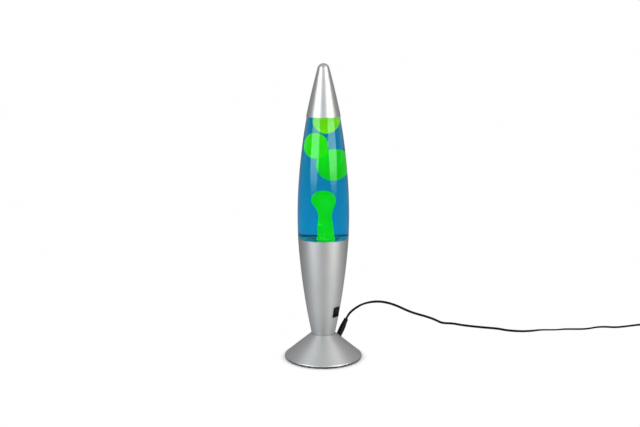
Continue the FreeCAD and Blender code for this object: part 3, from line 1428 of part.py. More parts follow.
def free_lead():
    """The lead from the plug over the table to its wound length, and on to the adapter."""
    plug_end = Sizes.jack_flange_height.value + Sizes.plug_length.value
    straight = rightwards * Sizes.lead_width.value
    on_table = lead_radius + Sizes.table_gap.value
    plug_run = 8
    coil_run = rightwards * 10
    tail_run = rightwards * 7
    route = [
        jack_place.multVec(Vector(0, 0, plug_end)),
        jack_place.multVec(Vector(0, 0, plug_end + plug_run)),
        Vector(46, 53, 55.5), Vector(62, 69, 59.5), Vector(84, 90, 56), Vector(108, 109, 45),
        Vector(134, 127.5, 27.5), Vector(160, 142.5, 15), Vector(180, 152, 4.5),
        Vector(200, 153.5, on_table), Vector(226, 140, on_table), Vector(261, 127, on_table),
        Vector(300, 111, on_table), Vector(336, 119.5, on_table), Vector(371, 122, on_table),
        Vector(405, 126, on_table), Vector(436, 135, on_table), Vector(464, 134.5, on_table),
        Vector(490, 142.5, on_table), Vector(510, 147.5, on_table),
        coil_start - straight - coil_run, coil_start - straight]
    tube_between("lead", route, lead_radius)

    relief_end = Vector(Sizes.adapter_x.value - Sizes.relief_length.value, coil_end.y,
                        Sizes.adapter_height.value / 2)
    tail = [
        coil_end + straight, coil_end + straight + tail_run, Vector(561, 150.2, 9),
        relief_end - tail_run, relief_end]
    tube_between("lead_tail", tail, lead_radius)


foot_pieces()
tube_pieces()
upper_base()
holder_bracket()
lampholder()
bulb()
bottle_seat()
glass_bottle()
wax_column()
liquid(wax_blobs())
wax_spring()
closure()
top_cap()
rocker_switch()
supply_jack()
supply_plug()
inner_wires()
wound_lead()
supply_adapter()
free_lead()

doc.recompute()
failed = [item.Name for item in doc.Objects
          if "Invalid" in item.State or "Error" in item.State]
if failed:
    raise RuntimeError(f"these objects failed: {failed}")
for part in sub_parts:
    if part.Shape.isNull() or not part.Shape.isValid():
        raise RuntimeError(f"{part.Label} has no valid shape")

os.makedirs("parts", exist_ok=True)
for part in sub_parts:
    part.Shape.exportStep(f"parts/{part.Label}.step")
print(len(sub_parts), "sub-parts written")
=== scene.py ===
import math

import bmesh
import bpy
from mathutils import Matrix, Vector


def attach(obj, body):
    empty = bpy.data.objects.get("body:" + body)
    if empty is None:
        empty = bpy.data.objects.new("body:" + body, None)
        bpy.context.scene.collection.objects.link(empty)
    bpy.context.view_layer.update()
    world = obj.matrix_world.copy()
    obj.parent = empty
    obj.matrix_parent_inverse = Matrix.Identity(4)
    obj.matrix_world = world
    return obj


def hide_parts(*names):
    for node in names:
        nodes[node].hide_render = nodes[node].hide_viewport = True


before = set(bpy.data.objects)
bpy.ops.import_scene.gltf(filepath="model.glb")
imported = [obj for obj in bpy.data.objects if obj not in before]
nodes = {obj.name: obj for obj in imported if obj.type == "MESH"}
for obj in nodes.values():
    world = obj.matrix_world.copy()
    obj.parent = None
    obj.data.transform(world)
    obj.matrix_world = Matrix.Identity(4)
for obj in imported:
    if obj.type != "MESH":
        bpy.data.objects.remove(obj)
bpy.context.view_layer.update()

scene = bpy.context.scene
scene.view_settings.view_transform = "Standard"


# Shader helpers
NOISE_LOW = 0.3
NOISE_HIGH = 0.7


def emptied(owner, output_kind):
    """The node tree of a material or world, emptied, and its new output node."""
    owner.use_nodes = True
    tree = owner.node_tree
    tree.nodes.clear()
    return tree, tree.nodes.new(output_kind)


def new_material(name):
    """A material of one Principled shader, with its tree and that shader."""
    material = bpy.data.materials.new(name)
    tree, output = emptied(material, "ShaderNodeOutputMaterial")
    shader = tree.nodes.new("ShaderNodeBsdfPrincipled")
    tree.links.new(shader.outputs["BSDF"], output.inputs["Surface"])
    return material, tree, shader


def feed(tree, socket, value):
    """Give a socket a number, a colour or what another node puts out."""
    if isinstance(value, bpy.types.NodeSocket):
        tree.links.new(value, socket)
    elif isinstance(value, tuple):
        socket.default_value = (*value, 1)
    else:
        socket.default_value = value


def combined(tree, operation, first, *others):
    """Values joined one after the other by an operation of the Math node."""
    for other in others:
        node = tree.nodes.new("ShaderNodeMath")
        node.operation = operation
        feed(tree, node.inputs[0], first)
        feed(tree, node.inputs[1], other)
        first = node.outputs["Value"]
    return first


def mapped(tree, value, start, end, low=0, high=1, smooth=False):
    """A value from start to end, mapped to low to high and held at both ends."""
    node = tree.nodes.new("ShaderNodeMapRange")
    if smooth:
        node.interpolation_type = "SMOOTHSTEP"
    node.inputs["From Min"].default_value = start
    node.inputs["From Max"].default_value = end
    node.inputs["To Min"].default_value = low
    node.inputs["To Max"].default_value = high
    tree.links.new(value, node.inputs["Value"])
    return node.outputs["Result"]


def place_of(tree, stretch=(1, 1, 1)):
    """Object coordinates in metres, stretched along each axis."""
    coordinates = tree.nodes.new("ShaderNodeTexCoord")
    mapping = tree.nodes.new("ShaderNodeMapping")
    mapping.inputs["Scale"].default_value = stretch
    tree.links.new(coordinates.outputs["Object"], mapping.inputs["Vector"])
    return mapping.outputs["Vector"]


def distance_of(tree, stretch=(1, 1, 1)):
    """How far a stretched place is from the object's origin, in metres."""
    node = tree.nodes.new("ShaderNodeVectorMath")
    node.operation = "LENGTH"
    tree.links.new(place_of(tree, stretch), node.inputs[0])
    return node.outputs["Value"]


def along(tree, direction, start, end):
    """0 to 1 along a direction through the object, between two places in metres."""
    node = tree.nodes.new("ShaderNodeVectorMath")
    node.operation = "DOT_PRODUCT"
    node.inputs[1].default_value = direction
    tree.links.new(place_of(tree), node.inputs[0])
    return mapped(tree, node.outputs["Value"], start, end, smooth=True)


def noise(tree, scale, detail=3, stretch=(1, 1, 1), roughness=0.5):
    """A noise value, which lies mostly between NOISE_LOW and NOISE_HIGH."""
    texture = tree.nodes.new("ShaderNodeTexNoise")
    texture.inputs["Scale"].default_value = scale
    texture.inputs["Detail"].default_value = detail
    texture.inputs["Roughness"].default_value = roughness
    tree.links.new(place_of(tree, stretch), texture.inputs["Vector"])
    return texture.outputs["Fac"]


def blend_colours(tree, share, first, second):
    """From one colour to another, by a share from 0 to 1."""
    node = tree.nodes.new("ShaderNodeMix")
    node.data_type = "RGBA"
    feed(tree, node.inputs["A"], first)
    feed(tree, node.inputs["B"], second)
    tree.links.new(share, node.inputs["Factor"])
    return node.outputs["Result"]


def clouded(tree, value, first, second):
    """A colour between two, by a noise value."""
    return blend_colours(tree, mapped(tree, value, NOISE_LOW, NOISE_HIGH), first, second)


def uneven_gloss(tree, shader, value, roughness, spread):
    """Let the roughness differ by up to a spread either way, by a noise value."""
    uneven = mapped(tree, value, NOISE_LOW, NOISE_HIGH, roughness - spread, roughness + spread)
    tree.links.new(uneven, shader.inputs["Roughness"])


def bump(tree, shader, height, depth, strength=1):
    """Bump the surface by a value from 0 to 1, up to a depth in metres."""
    node = tree.nodes.new("ShaderNodeBump")
    node.inputs["Strength"].default_value = strength
    node.inputs["Distance"].default_value = depth
    tree.links.new(height, node.inputs["Height"])
    tree.links.new(node.outputs["Normal"], shader.inputs["Normal"])


def shade(value):
    """The linear value of an 8-bit shade."""
    value = value / 255
    return value / 12.92 if value <= 0.04045 else ((value + 0.055) / 1.055) ** 2.4


def colour(red, green, blue):
    """The linear colour of three 8-bit shades."""
    return shade(red), shade(green), shade(blue)


# Kinds of material
def plastic(name, first, second, roughness, grain, depth, level=0.5):
    """Moulded plastic or rubber: two near colours, uneven gloss and a fine grain."""
    material, tree, shader = new_material(name)
    tree.links.new(clouded(tree, noise(tree, 60), first, second), shader.inputs["Base Color"])
    uneven_gloss(tree, shader, noise(tree, 140), roughness, spread=0.06)
    shader.inputs["Specular IOR Level"].default_value = level
    bump(tree, shader, noise(tree, grain, 4), depth)
    return material


def metal(name, first, second, roughness, stretch, scale, depth, edge=1.0, anisotropy=0.0):
    """Metal with fine tool or brush lines, which run where the noise is stretched."""
    material, tree, shader = new_material(name)
    shader.inputs["Metallic"].default_value = 1
    shader.inputs["Specular Tint"].default_value = (edge, edge, edge, 1)
    tree.links.new(clouded(tree, noise(tree, 25), first, second), shader.inputs["Base Color"])
    lines = noise(tree, scale, 4, stretch, 0.6)
    uneven_gloss(tree, shader, lines, roughness, spread=0.05)
    bump(tree, shader, lines, depth)
    if anisotropy:
        shader.inputs["Anisotropic"].default_value = anisotropy
        shader.inputs["Anisotropic Rotation"].default_value = 0.25
        tangent = tree.nodes.new("ShaderNodeTangent")
        tangent.direction_type = "RADIAL"
        tangent.axis = "Z"
        tree.links.new(tangent.outputs["Tangent"], shader.inputs["Tangent"])
    return material


def clear(name, first, second, ior, roughness=0.0, tint=(1, 1, 1), glow=0):
    """Clear glass: light goes through it and takes its colour. A lit bulb's glass glows."""
    material, tree, shader = new_material(name)
    tree.links.new(clouded(tree, noise(tree, 9, 1), first, second), shader.inputs["Base Color"])
    shader.inputs["Transmission Weight"].default_value = 1
    shader.inputs["Roughness"].default_value = roughness
    shader.inputs["IOR"].default_value = ior
    shader.inputs["Specular Tint"].default_value = (*tint, 1)
    if glow:
        shader.inputs["Emission Color"].default_value = (1, 0.86, 0.6, 1)
        shader.inputs["Emission Strength"].default_value = glow
    return material


def see_through(name):
    """A surface inside the bottle that two pieces share, which shows nothing of its own."""
    material, tree, shader = new_material(name)
    shader.inputs["Alpha"].default_value = 0
    shader.inputs["Specular IOR Level"].default_value = 0
    return material


# The liquid's tint, with painted light and shade: painted brighter low on its left, painted
# deeper up and to the right, and a painted shade band from its floor up to a little above the
# metal's rim, where the rim's shadow gap falls. Heights are in metres.
BRIGHT_TINT = (0.0015, 0.25, 0.515)
DEEP_TINT = (0.0015, 0.185, 0.37)
RIM_SHADE_TINT = (0.001, 0.18, 0.4)
HAZE = 0.93
RIM_ENDS = (0.1739, 0.1747)


def tinted_liquid(name):
    """Clear tinted liquid, which bends no light, with painted light and shade in its tint."""
    material, tree, shader = new_material(name)
    hazy = tuple(part * HAZE for part in BRIGHT_TINT)
    tint = clouded(tree, noise(tree, 14, 2), BRIGHT_TINT, hazy)
    # Painted light and shade: brighter low on the left, deeper up and to the right
    tint = blend_colours(tree, along(tree, (0.6, 0, 1), 0.15, 0.36), tint, DEEP_TINT)
    # Painted shade: a darker band from the floor to a little above the rim
    tint = blend_colours(tree, along(tree, (0, 0, 1), *RIM_ENDS), RIM_SHADE_TINT, tint)
    tree.links.new(tint, shader.inputs["Base Color"])
    shader.inputs["Transmission Weight"].default_value = 1
    shader.inputs["Roughness"].default_value = 0
    shader.inputs["IOR"].default_value = 1.0
    return material


# A painted ring of light in the bottle's bottom, a glow for the bulb's light from below: radii
# in metres between which it sets in and fades
RING_SETS_IN = (0.0155, 0.0175)
RING_FADES = (0.021, 0.026)
RING_GLOW = 0.26
RING_REST = 0.01


def mirror_floor(name):
    """The bottle's bottom: teal metal stands in for its mirroring, and a painted ring glows for
    the bulb.
    """
    material, tree, shader = new_material(name)
    tree.links.new(clouded(tree, noise(tree, 30, 2), (0.15, 0.7, 0.48), (0.15, 0.76, 0.53)),
                   shader.inputs["Base Color"])
    shader.inputs["Metallic"].default_value = 1
    shader.inputs["Specular Tint"].default_value = (0.15, 0.85, 0.6, 1)
    shader.inputs["Roughness"].default_value = 0.06
    # Painted light: a ring of glow for the bulb below, set in and faded by radius
    radius = distance_of(tree, (1, 1, 0))
    ring = combined(tree, "MULTIPLY", mapped(tree, radius, *RING_FADES, RING_GLOW, RING_REST),
                    mapped(tree, radius, *RING_SETS_IN))
    shader.inputs["Emission Color"].default_value = (0, 0.95, 1, 1)
    tree.links.new(ring, shader.inputs["Emission Strength"])
    return material


# Heights in metres between which the wax's painted glow turns, first to a colour of each
# piece's own, then to one yellow, which is painted light near the top
WAX_MIDDLE = (0.24, 0.3)
WAX_HIGH = (0.305, 0.325)
WAX_YELLOW = (1, 0.36, 0)


def glowing_wax(name, low, middle, strength=2.4):
    """Wax whose light is painted: an emission glows for the bulb's light from below, yellower
    at the top.
    """
    material, tree, shader = new_material(name)
    cloud = noise(tree, 55, 2)
    tree.links.new(clouded(tree, cloud, (0.01, 0.5, 0.001), (0.02, 0.56, 0.002)),
                   shader.inputs["Base Color"])
    paler = tuple(min(1, part * 1.06 + 0.01) for part in low)
    glow = clouded(tree, cloud, low, paler)
    glow = blend_colours(tree, along(tree, (0, 0, 1), *WAX_MIDDLE), glow, middle)
    glow = blend_colours(tree, along(tree, (0, 0, 1), *WAX_HIGH), glow, WAX_YELLOW)
    # Painted glow: the wax is no lamp, and this emission stands for the bulb's light through it
    tree.links.new(glow, shader.inputs["Emission Color"])
    shader.inputs["Emission Strength"].default_value = strength
    shader.inputs["Roughness"].default_value = 0.5
    shader.inputs["Specular IOR Level"].default_value = 0.05
    bump(tree, shader, noise(tree, 40, 1), 0.0004, 0.5)
    return material


# Materials
SPUN = {"first": colour(167, 168, 169), "second": colour(173, 174, 174),
        "stretch": (3, 3, 900), "scale": 4, "depth": 0.000004, "edge": 0.5}
spun_metal = metal("spun_metal", roughness=0.5, anisotropy=0.45, **SPUN)
tip_metal = metal("tip_metal", roughness=0.46, **SPUN)
zinc = metal("zinc_plate", (0.52, 0.53, 0.55), (0.6, 0.6, 0.6), 0.3, (1, 1, 1), 900, 0.000008)
tinplate = metal("tinplate", (0.62, 0.63, 0.65), (0.7, 0.7, 0.71), 0.28, (1, 1, 6), 500,
                 0.000005)
brass = metal("brass", (0.72, 0.52, 0.22), (0.8, 0.6, 0.3), 0.28, (1, 1, 4), 700, 0.000005)

black_plastic = plastic("black_plastic", colour(9, 9, 10), colour(15, 15, 16), 0.45,
                        2600, 0.00002, 0.07)
black_gloss = plastic("black_gloss", colour(9, 9, 10), colour(14, 14, 15), 0.3,
                      900, 0.000005, 0.06)
black_rubber = plastic("black_rubber", colour(15, 15, 16), colour(24, 24, 24), 0.62,
                       1800, 0.00003, 0.25)
ceramic = plastic("ceramic", colour(226, 220, 204), colour(238, 234, 222), 0.55,
                  1500, 0.00002)
red_insulation = plastic("red_insulation", colour(150, 18, 16), colour(178, 28, 24), 0.35,
                         700, 0.00001)
black_insulation = plastic("black_insulation", colour(18, 18, 19), colour(28, 28, 29), 0.35,
                           700, 0.00001)
lead_sheath = plastic("lead_sheath", colour(12, 12, 13), colour(18, 18, 19), 0.6,
                      900, 0.00001, 0.07)

BULB_GLASS = {"first": (0.93, 0.95, 0.96), "second": (0.97, 0.98, 0.99), "ior": 1.45,
              "roughness": 0.08}
bottle_glass = clear("bottle_glass", (0.97, 0.99, 0.99), (1, 1, 1), 1.36, tint=(0.62, 1, 0.8))
bulb_glass = clear("bulb_glass", **BULB_GLASS)
capsule_glass = clear("capsule_glass", glow=8, **BULB_GLASS)
front_glass = clear("front_glass", glow=0.3, **BULB_GLASS)
shared_face = see_through("shared_face")

liquid_blue = tinted_liquid("liquid_blue")
liquid_floor = mirror_floor("liquid_floor")
# Copies of one wax with painted glow: lit brighter (left blob), shaded darker (right blob),
# yellow (top)
wax_rising = glowing_wax("wax_rising", (0.006, 0.4, 0.001), (0.04, 0.42, 0.001))
wax_painted_lit = glowing_wax("wax_painted_lit", (0.05, 0.54, 0), (0.2, 0.56, 0))
wax_painted_shaded = glowing_wax("wax_painted_shaded", (0.004, 0.37, 0.001), (0.03, 0.42, 0.001))
wax_top = glowing_wax("wax_top", (0.9, 0.35, 0), (1, 0.37, 0), 3.4)

# The finish of each node that has only one
FINISHES = [
    (spun_metal, ("foot_shell", "upper_base")),
    (zinc, ("threaded_tube", "tube_nuts", "tube_washers", "holder_bracket", "holder_screws",
            "bottle_seat", "bulb_pins", "wax_spring", "jack_nut", "plug_barrel",
            "adapter_pins")),
    (tinplate, ("crown_closure",)),
    (brass, ("holder_contacts", "switch_tabs", "jack_pin", "jack_tabs")),
    (black_plastic, ("bottom_cover", "switch_housing", "jack_body", "plug_grip",
                     "adapter_body")),
    (black_gloss, ("switch_rocker",)),
    (black_rubber, ("foot_pads", "seat_gasket", "sealing_disc", "coil_tie", "adapter_relief")),
    (ceramic, ("lampholder", "bulb_cement")),
    (bulb_glass, ("bulb_reflector",)),
    (front_glass, ("bulb_front_glass",)),
    (capsule_glass, ("bulb_capsule",)),
    (wax_rising, ("wax_column",)),
    (wax_painted_lit, ("wax_blob_left",)),
    (wax_painted_shaded, ("wax_blob_right",)),
    (wax_top, ("wax_blob_top",)),
    (red_insulation, ("wire_feed", "wire_switched")),
    (black_insulation, ("wire_return",)),
]


def dress(name, *finishes):
    """Put one or more materials in a node's slots, and give back its mesh."""
    mesh = nodes[name].data
    mesh.materials.clear()
    for finish in finishes:
        mesh.materials.append(finish)
    return mesh


for material, names in FINISHES:
    for name in names:
        dress(name, material)


# What tells the faces of the bottle, the liquid and the cap apart. Lengths are in metres.
UNDERSIDE_TOP = 0.1715
UNDERSIDE_RIM = 0.031
MOUTH = 0.3605
OUTWARDS = 0.02
LIQUID_FLOOR = 0.1712
SHOULDER = 0.334
LIQUID_LEVEL = 0.354
WALL_RADIUS = 0.028
WALL_NARROWS_FROM = 0.252
WALL_NARROWING = 0.11
HOLLOW_TIP = 0.002
TIP_RADIUS = 0.004


def finish_faces(name, finishes, choose):
    """Give each face of a node one of some finishes, by its place and where it looks."""
    for face in dress(name, *finishes).polygons:
        middle, normal = face.center, face.normal
        radius = math.hypot(middle.x, middle.y)
        away = (middle.x * normal.x + middle.y * normal.y) / max(radius, 1e-6)
        face.material_index = choose(radius, middle.z, away, normal.z)


def glass_finish(radius, height, away, up):
    """0 on the bottle's own outside: its wall, the underside and the ring of its mouth."""
    if height < UNDERSIDE_TOP:
        return 0 if up < 0.5 or radius > UNDERSIDE_RIM else 1
    return 0 if away > OUTWARDS or height > MOUTH else 1


def liquid_finish(radius, height, away, up):
    """0 on the liquid's wall and level, 1 in the hollows of the wax, 2 on its floor."""
    if height > SHOULDER:
        return 0 if height > LIQUID_LEVEL or (away > 0 and radius > HOLLOW_TIP) else 1
    if height < LIQUID_FLOOR:
        return 2 if abs(up) > 0.5 else 1
    narrowing = max(0, height - WALL_NARROWS_FROM) * WALL_NARROWING
    return 1 if away < 0 or radius < WALL_RADIUS - narrowing else 0


def cap_finish(radius, height, away, up):
    """1 at the nose's tip, where turning leaves no lines."""
    return 1 if radius < TIP_RADIUS and up > 0 else 0


finish_faces("top_cap", [spun_metal, tip_metal], cap_finish)
finish_faces("glass_bottle", [bottle_glass, shared_face], glass_finish)
finish_faces("liquid", [liquid_blue, shared_face, liquid_floor], liquid_finish)


# The lead, from the plug over the table into its wound length and on to the adapter. It is a
# flat twin: two round cores side by side. Lengths are in millimetres.
MILLIMETRE = 0.001
CORE_RADIUS = 0.9
CORE_STEPS = 6
CORE_STEP_ANGLE = 18
WEB_SHARE = 0.62
TABLE_GAP = 0.05
COIL_MIDDLE = (540, 175)
COIL_RADIUS = 25.5
COIL_STEP = 3.55
COIL_LOW = 2.6
COIL_RISE = 3.65
COIL_TURNS = 5
COIL_SINK = 1.0
SINK_PACE = 5
POINTS_PER_TURN = 16
LINE_DIVISIONS = 6

# Where the lead's broad side changes its tilt: distance along the lead, and degrees from flat
TWISTS = [(0, 102), (20, 96), (42, 64), (68, 88), (110, 90), (310, 88), (345, 70), (376, 34),
          (390, 34), (404, 47), (450, 52), (500, 60), (540, 70), (570, 88), (600, 90)]

# The lead's route before and after the coil
OUTWARD = [(33.194, 39.559, 43.025), (36.504, 43.503, 49.148), (45, 52, 54.4), (60, 67, 59),
           (84, 90, 55.8), (108, 109, 45), (134, 127.5, 27.5), (160, 142.5, 16.2),
           (174, 149.5, 9.4), (185, 152.5, 2.9), (194, 153.5, 1.7), (204, 152, 1.5),
           (213, 145.5, 1.5), (227, 138.5, 1.45), (250, 130.5, 1.4), (270, 125, 1.4),
           (280, 116.5, 1.3), (300, 111.2, 1.1), (318, 113, 0.9), (335, 120.5, 0.85),
           (358, 119.8, 0.85), (372, 124, 0.95), (396, 122.8, 1.1), (410, 126, 1.15),
           (423, 133.5, 1.2), (436, 135.5, 1.25), (450, 132, 1.3), (464, 135, 1.4),
           (490, 145, 1.5), (510, 149, 1.55), (527, 149.5, 1.6)]
TAIL = [(553, 149.5, 5.2), (561, 150.2, 9), (571, 149.5, 15), (578, 149.5, 15)]


def eased(share):
    """0 to 1 with a slow start and end."""
    return share * share * (3 - 2 * share)


def tilt_at(length):
    """The tilt of the lead's broad side, in degrees, at a distance along it."""
    for (near, first), (far, second) in zip(TWISTS, TWISTS[1:]):
        if length <= far:
            return first + (second - first) * eased((length - near) / (far - near))
    return TWISTS[-1][1]


def coil_point(angle):
    """A point of the spiral in and out again, which sinks but where it runs over the tie."""
    step = COIL_STEP / (2 * math.pi)
    half = 2 * math.pi * COIL_TURNS
    least = COIL_RADIUS - step * half
    past = angle - half
    if abs(past) < math.pi / 2:
        radius = least + step * (past * past / math.pi + math.pi / 4)
    else:
        radius = least + step * abs(past)
    turn = angle - math.pi / 2
    rise = COIL_RISE * eased(min(max(past / math.pi + 0.5, 0), 1))
    beside_tie = (1 - math.sin(turn)) / 2
    sink = COIL_SINK * min(1, beside_tie * SINK_PACE)
    return (COIL_MIDDLE[0] + radius * math.cos(turn), COIL_MIDDLE[1] + radius * math.sin(turn),
            COIL_LOW + rise - sink)


coil_steps = 2 * COIL_TURNS * POINTS_PER_TURN
winding = [coil_point(2 * math.pi * step / POINTS_PER_TURN) for step in range(coil_steps + 1)]
route = [Vector(point) * MILLIMETRE for point in [*OUTWARD, *winding, *TAIL]]


def smooth_line(points, divisions):
    """Points along one smooth NURBS line, whose control points are given."""
    curve = bpy.data.curves.new("line", "CURVE")
    curve.dimensions = "3D"
    curve.resolution_u = divisions
    spline = curve.splines.new("NURBS")
    spline.points.add(len(points) - 1)
    for target, point in zip(spline.points, points):
        target.co = (*point, 1)
    spline.order_u = 3
    spline.use_endpoint_u = True
    holder = bpy.data.objects.new("line", curve)
    scene.collection.objects.link(holder)
    bpy.context.view_layer.update()
    mesh = bpy.data.meshes.new_from_object(holder)
    line = [vertex.co.copy() for vertex in mesh.vertices]
    bpy.data.objects.remove(holder)
    bpy.data.meshes.remove(mesh)
    bpy.data.curves.remove(curve)
    return line


def twin_section():
    """The outline of a flat twin lead: two round cores with a web between them."""
    outline = []
    for side in (1, -1):
        for step in range(-CORE_STEPS, CORE_STEPS + 1):
            angle = math.radians(CORE_STEP_ANGLE * step)
            outline.append((side * (CORE_RADIUS + CORE_RADIUS * math.cos(angle)),
                            side * CORE_RADIUS * math.sin(angle)))
        outline.append((0, side * CORE_RADIUS * WEB_SHARE))
    return outline


def new_object(name, shape, material):
    """An object in one material, of a bmesh that is then done with."""
    mesh = bpy.data.meshes.new(name)
    shape.to_mesh(mesh)
    shape.free()
    mesh.materials.append(material)
    part = bpy.data.objects.new(name, mesh)
    scene.collection.objects.link(part)
    return part


def flat_lead(name, line):
    """The twin section swept along a line, turned by its tilt and kept above the table."""
    section = twin_section()
    shape = bmesh.new()
    rings = []
    length = 0
    for index, point in enumerate(line):
        before, after = line[max(index - 1, 0)], line[min(index + 1, len(line) - 1)]
        length += (point - before).length / MILLIMETRE
        heading = (after - before).normalized()
        side = heading.cross(Vector((0, 0, 1))).normalized()
        upper = side.cross(heading)
        tilt = math.radians(tilt_at(length))
        broad = side * math.cos(tilt) + upper * math.sin(tilt)
        thin = upper * math.cos(tilt) - side * math.sin(tilt)
        outline = [point + (broad * across + thin * up) * MILLIMETRE for across, up in section]
        sunk = TABLE_GAP * MILLIMETRE - min(corner.z for corner in outline)
        rise = Vector((0, 0, max(0, sunk)))
        rings.append([shape.verts.new(corner + rise) for corner in outline])
    count = len(section)
    for first, second in zip(rings, rings[1:]):
        for index in range(count):
            follower = (index + 1) % count
            shape.faces.new((first[index], first[follower], second[follower], second[index]))
    shape.faces.new(list(reversed(rings[0])))
    shape.faces.new(rings[-1])
    bmesh.ops.recalc_face_normals(shape, faces=shape.faces)
    part = new_object(name, shape, lead_sheath)
    part.data.shade_smooth()
    return part


lead_line = smooth_line(route, LINE_DIVISIONS)
lead = flat_lead("supply_lead", lead_line)
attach(lead, "base")
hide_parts("lead", "lead_coil", "lead_tail")


# Floor and world. At level 1 a thing shows white. Distances from the lamp are in metres.
FLOOR_COLOUR = (0.9, 0.9, 0.9)
FLOOR_HALF = 30
FLOOR_SHARE = 0.98
LIGHT_LEVEL = 0.9
ROOM_LEVEL = 0.25
BACK_LEVEL = 0.3
SKY_LEVEL = 0.75
FOOT_RADIUS = 0.0545
WHITE_FROM = 0.062
# Gloss sees painted shade on the floor: a shadow under the foot up to DIM_UP_TO, dim far off
# and left
DIM_UP_TO = 0.08
FAR_OFF = (0.4, 0.8)
FRONT_TO_BACK = (-0.2, 0.3)
LEFT_SIDE = (0.06, 0.2)
LEFT_SHARE = 0.45
SKY_BEHIND = (-0.1, 0.5)
SKY_ABOVE = (0.35, 0.8)


def seen_ray(tree, *names):
    """1 for a ray of one of some kinds."""
    path = tree.nodes.new("ShaderNodeLightPath")
    return combined(tree, "MAXIMUM", *(path.outputs[name] for name in names))


def mirrored_ray(tree):
    """1 for a ray that a surface mirrored, 0 for one that went through glass."""
    path = tree.nodes.new("ShaderNodeLightPath")
    return combined(tree, "GREATER_THAN", path.outputs["Is Glossy Ray"],
                    path.outputs["Is Transmission Ray"])


def plain_light(tree, kind, strength):
    """White light of a strength, from an Emission or a Background node."""
    node = tree.nodes.new(kind)
    feed(tree, node.inputs["Color"], (1, 1, 1))
    feed(tree, node.inputs["Strength"], strength)
    return node.outputs[0]


def blend_shaders(tree, share, first, second):
    """From one shader to another, by a share from 0 to 1."""
    node = tree.nodes.new("ShaderNodeMixShader")
    for socket, value in zip(node.inputs, (share, first, second)):
        tree.links.new(value, socket)
    return node.outputs["Shader"]


def floor_material():
    """White floor that keeps the shadow by the foot, with painted shade that only gloss sees.
    """
    material = bpy.data.materials.new("floor_white")
    tree, output = emptied(material, "ShaderNodeOutputMaterial")
    diffuse = tree.nodes.new("ShaderNodeBsdfDiffuse")
    feed(tree, diffuse.inputs["Color"], FLOOR_COLOUR)
    distance = distance_of(tree)
    seen = seen_ray(tree, "Is Camera Ray", "Is Glossy Ray", "Is Transmission Ray")
    beyond = mapped(tree, distance, FOOT_RADIUS, WHITE_FROM)
    shown = blend_shaders(tree, combined(tree, "MULTIPLY", seen, beyond, FLOOR_SHARE),
                          diffuse.outputs["BSDF"], plain_light(tree, "ShaderNodeEmission", 1))
    # Painted shadow under the foot, which only gloss sees
    clear_of_foot = mapped(tree, distance, WHITE_FROM, DIM_UP_TO)
    room = mapped(tree, along(tree, (0, 1, 0), *FRONT_TO_BACK), 0, 1, ROOM_LEVEL, BACK_LEVEL)
    dim = plain_light(tree, "ShaderNodeEmission",
                      combined(tree, "MULTIPLY", room, clear_of_foot))
    far = mapped(tree, distance, *FAR_OFF)
    left = combined(tree, "MULTIPLY", along(tree, (-1, 0, 0), *LEFT_SIDE), LEFT_SHARE)
    under = combined(tree, "SUBTRACT", 1, clear_of_foot)
    # Painted shade in reflections: gloss sees the floor dim far off, on the left and under the
    # foot
    gloss_painted_shade = combined(tree, "MULTIPLY", mirrored_ray(tree),
                     combined(tree, "MAXIMUM", far, left, under))
    tree.links.new(blend_shaders(tree, gloss_painted_shade, shown, dim), output.inputs["Surface"])
    return material


def white_world():
    """White where it is seen; gloss sees it behind and above, and a dimmer room in front."""
    scene.world = bpy.data.worlds.new("studio")
    tree, output = emptied(scene.world, "ShaderNodeOutputWorld")
    coordinates = tree.nodes.new("ShaderNodeTexCoord")
    parts = tree.nodes.new("ShaderNodeSeparateXYZ")
    tree.links.new(coordinates.outputs["Generated"], parts.inputs["Vector"])
    behind = mapped(tree, parts.outputs["Y"], *SKY_BEHIND, ROOM_LEVEL, SKY_LEVEL)
    above = mapped(tree, parts.outputs["Z"], *SKY_ABOVE, ROOM_LEVEL, SKY_LEVEL)
    room = combined(tree, "MAXIMUM", behind, above)
    shown = plain_light(tree, "ShaderNodeBackground", LIGHT_LEVEL)
    for strength, share in ((room, seen_ray(tree, "Is Glossy Ray")),
                            (1, seen_ray(tree, "Is Camera Ray", "Is Transmission Ray"))):
        seen = plain_light(tree, "ShaderNodeBackground", strength)
        shown = blend_shaders(tree, share, shown, seen)
    tree.links.new(shown, output.inputs["Surface"])


floor_shape = bmesh.new()
bmesh.ops.create_grid(floor_shape, x_segments=1, y_segments=1, size=FLOOR_HALF)
floor = new_object("floor", floor_shape, floor_material())
white_world()


# Lights: two large softboxes stand beside the camera, and a smaller one hangs above it
LEFT_ANGLE = -46.5
RIGHT_ANGLE = 49.5
BOX_DISTANCE = 1.3
BOX_LOW = 0.1
BOX_HIGH = 1.2
BOX_FADE = 0.25


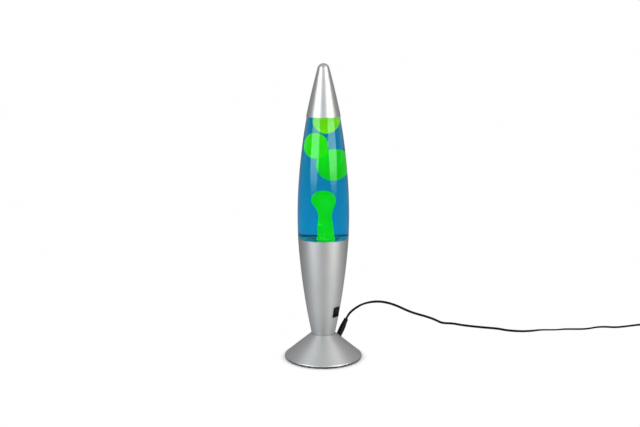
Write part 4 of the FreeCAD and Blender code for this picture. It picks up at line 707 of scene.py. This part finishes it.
def softbox(name, shape, place, aim, width, height, radiance, tint=(1, 1, 1), fade=0):
    """An area light of a radiance, which may fade over a share of its height to one end."""
    light = bpy.data.lights.new(name, "AREA")
    light.shape = shape
    light.size = width
    light.size_y = height
    area = width * height * (math.pi / 4 if shape == "ELLIPSE" else 1)
    light.energy = radiance * math.pi * area
    light.color = tint
    if fade:
        light.use_nodes = True
        tree = light.node_tree
        geometry = tree.nodes.new("ShaderNodeNewGeometry")
        parts = tree.nodes.new("ShaderNodeSeparateXYZ")
        tree.links.new(geometry.outputs["Parametric"], parts.inputs["Vector"])
        tree.links.new(mapped(tree, parts.outputs["Y"], 0, fade, smooth=True),
                       tree.nodes["Emission"].inputs["Strength"])
    lamp = bpy.data.objects.new(name, light)
    lamp.location = place
    lamp.rotation_euler = (Vector(aim) - Vector(place)).to_track_quat("-Z", "Y").to_euler()
    scene.collection.objects.link(lamp)
    return lamp


def standing_softbox(name, angle, width, radiance, tint):
    """A large softbox at an angle from the lamp's front, in degrees. It lights nothing dull."""
    turn = math.radians(angle)
    height = (BOX_LOW + BOX_HIGH) / 2
    place = (BOX_DISTANCE * math.sin(turn), -BOX_DISTANCE * math.cos(turn), height)
    lamp = softbox(name, "ELLIPSE", place, (0, 0, height), width, BOX_HIGH - BOX_LOW, radiance,
                   tint, BOX_FADE)
    lamp.visible_diffuse = False


standing_softbox("softbox_left", LEFT_ANGLE, 1.2, 8.0, (0.92, 0.975, 1))
standing_softbox("softbox_right", RIGHT_ANGLE, 1.16, 8.3, (1, 0.985, 0.94))
softbox("softbox_front", "RECTANGLE", (0.08, -1.1, 1.1), (0, 0, 0.3), 0.8, 0.62, 1.5)


# Camera, in metres and degrees
CAMERA_PLACE = (-0.00463, -1.33, 0.4533)
CAMERA_DOWN = 10.56

camera_data = bpy.data.cameras.new("camera")
camera_data.sensor_width = 36
camera_data.lens = 55.3
camera_data.clip_start = 0.05
camera_data.clip_end = 100
camera = bpy.data.objects.new("camera", camera_data)
camera.location = CAMERA_PLACE
camera.rotation_euler = (math.radians(90 - CAMERA_DOWN), 0, 0)
scene.collection.objects.link(camera)
scene.camera = camera
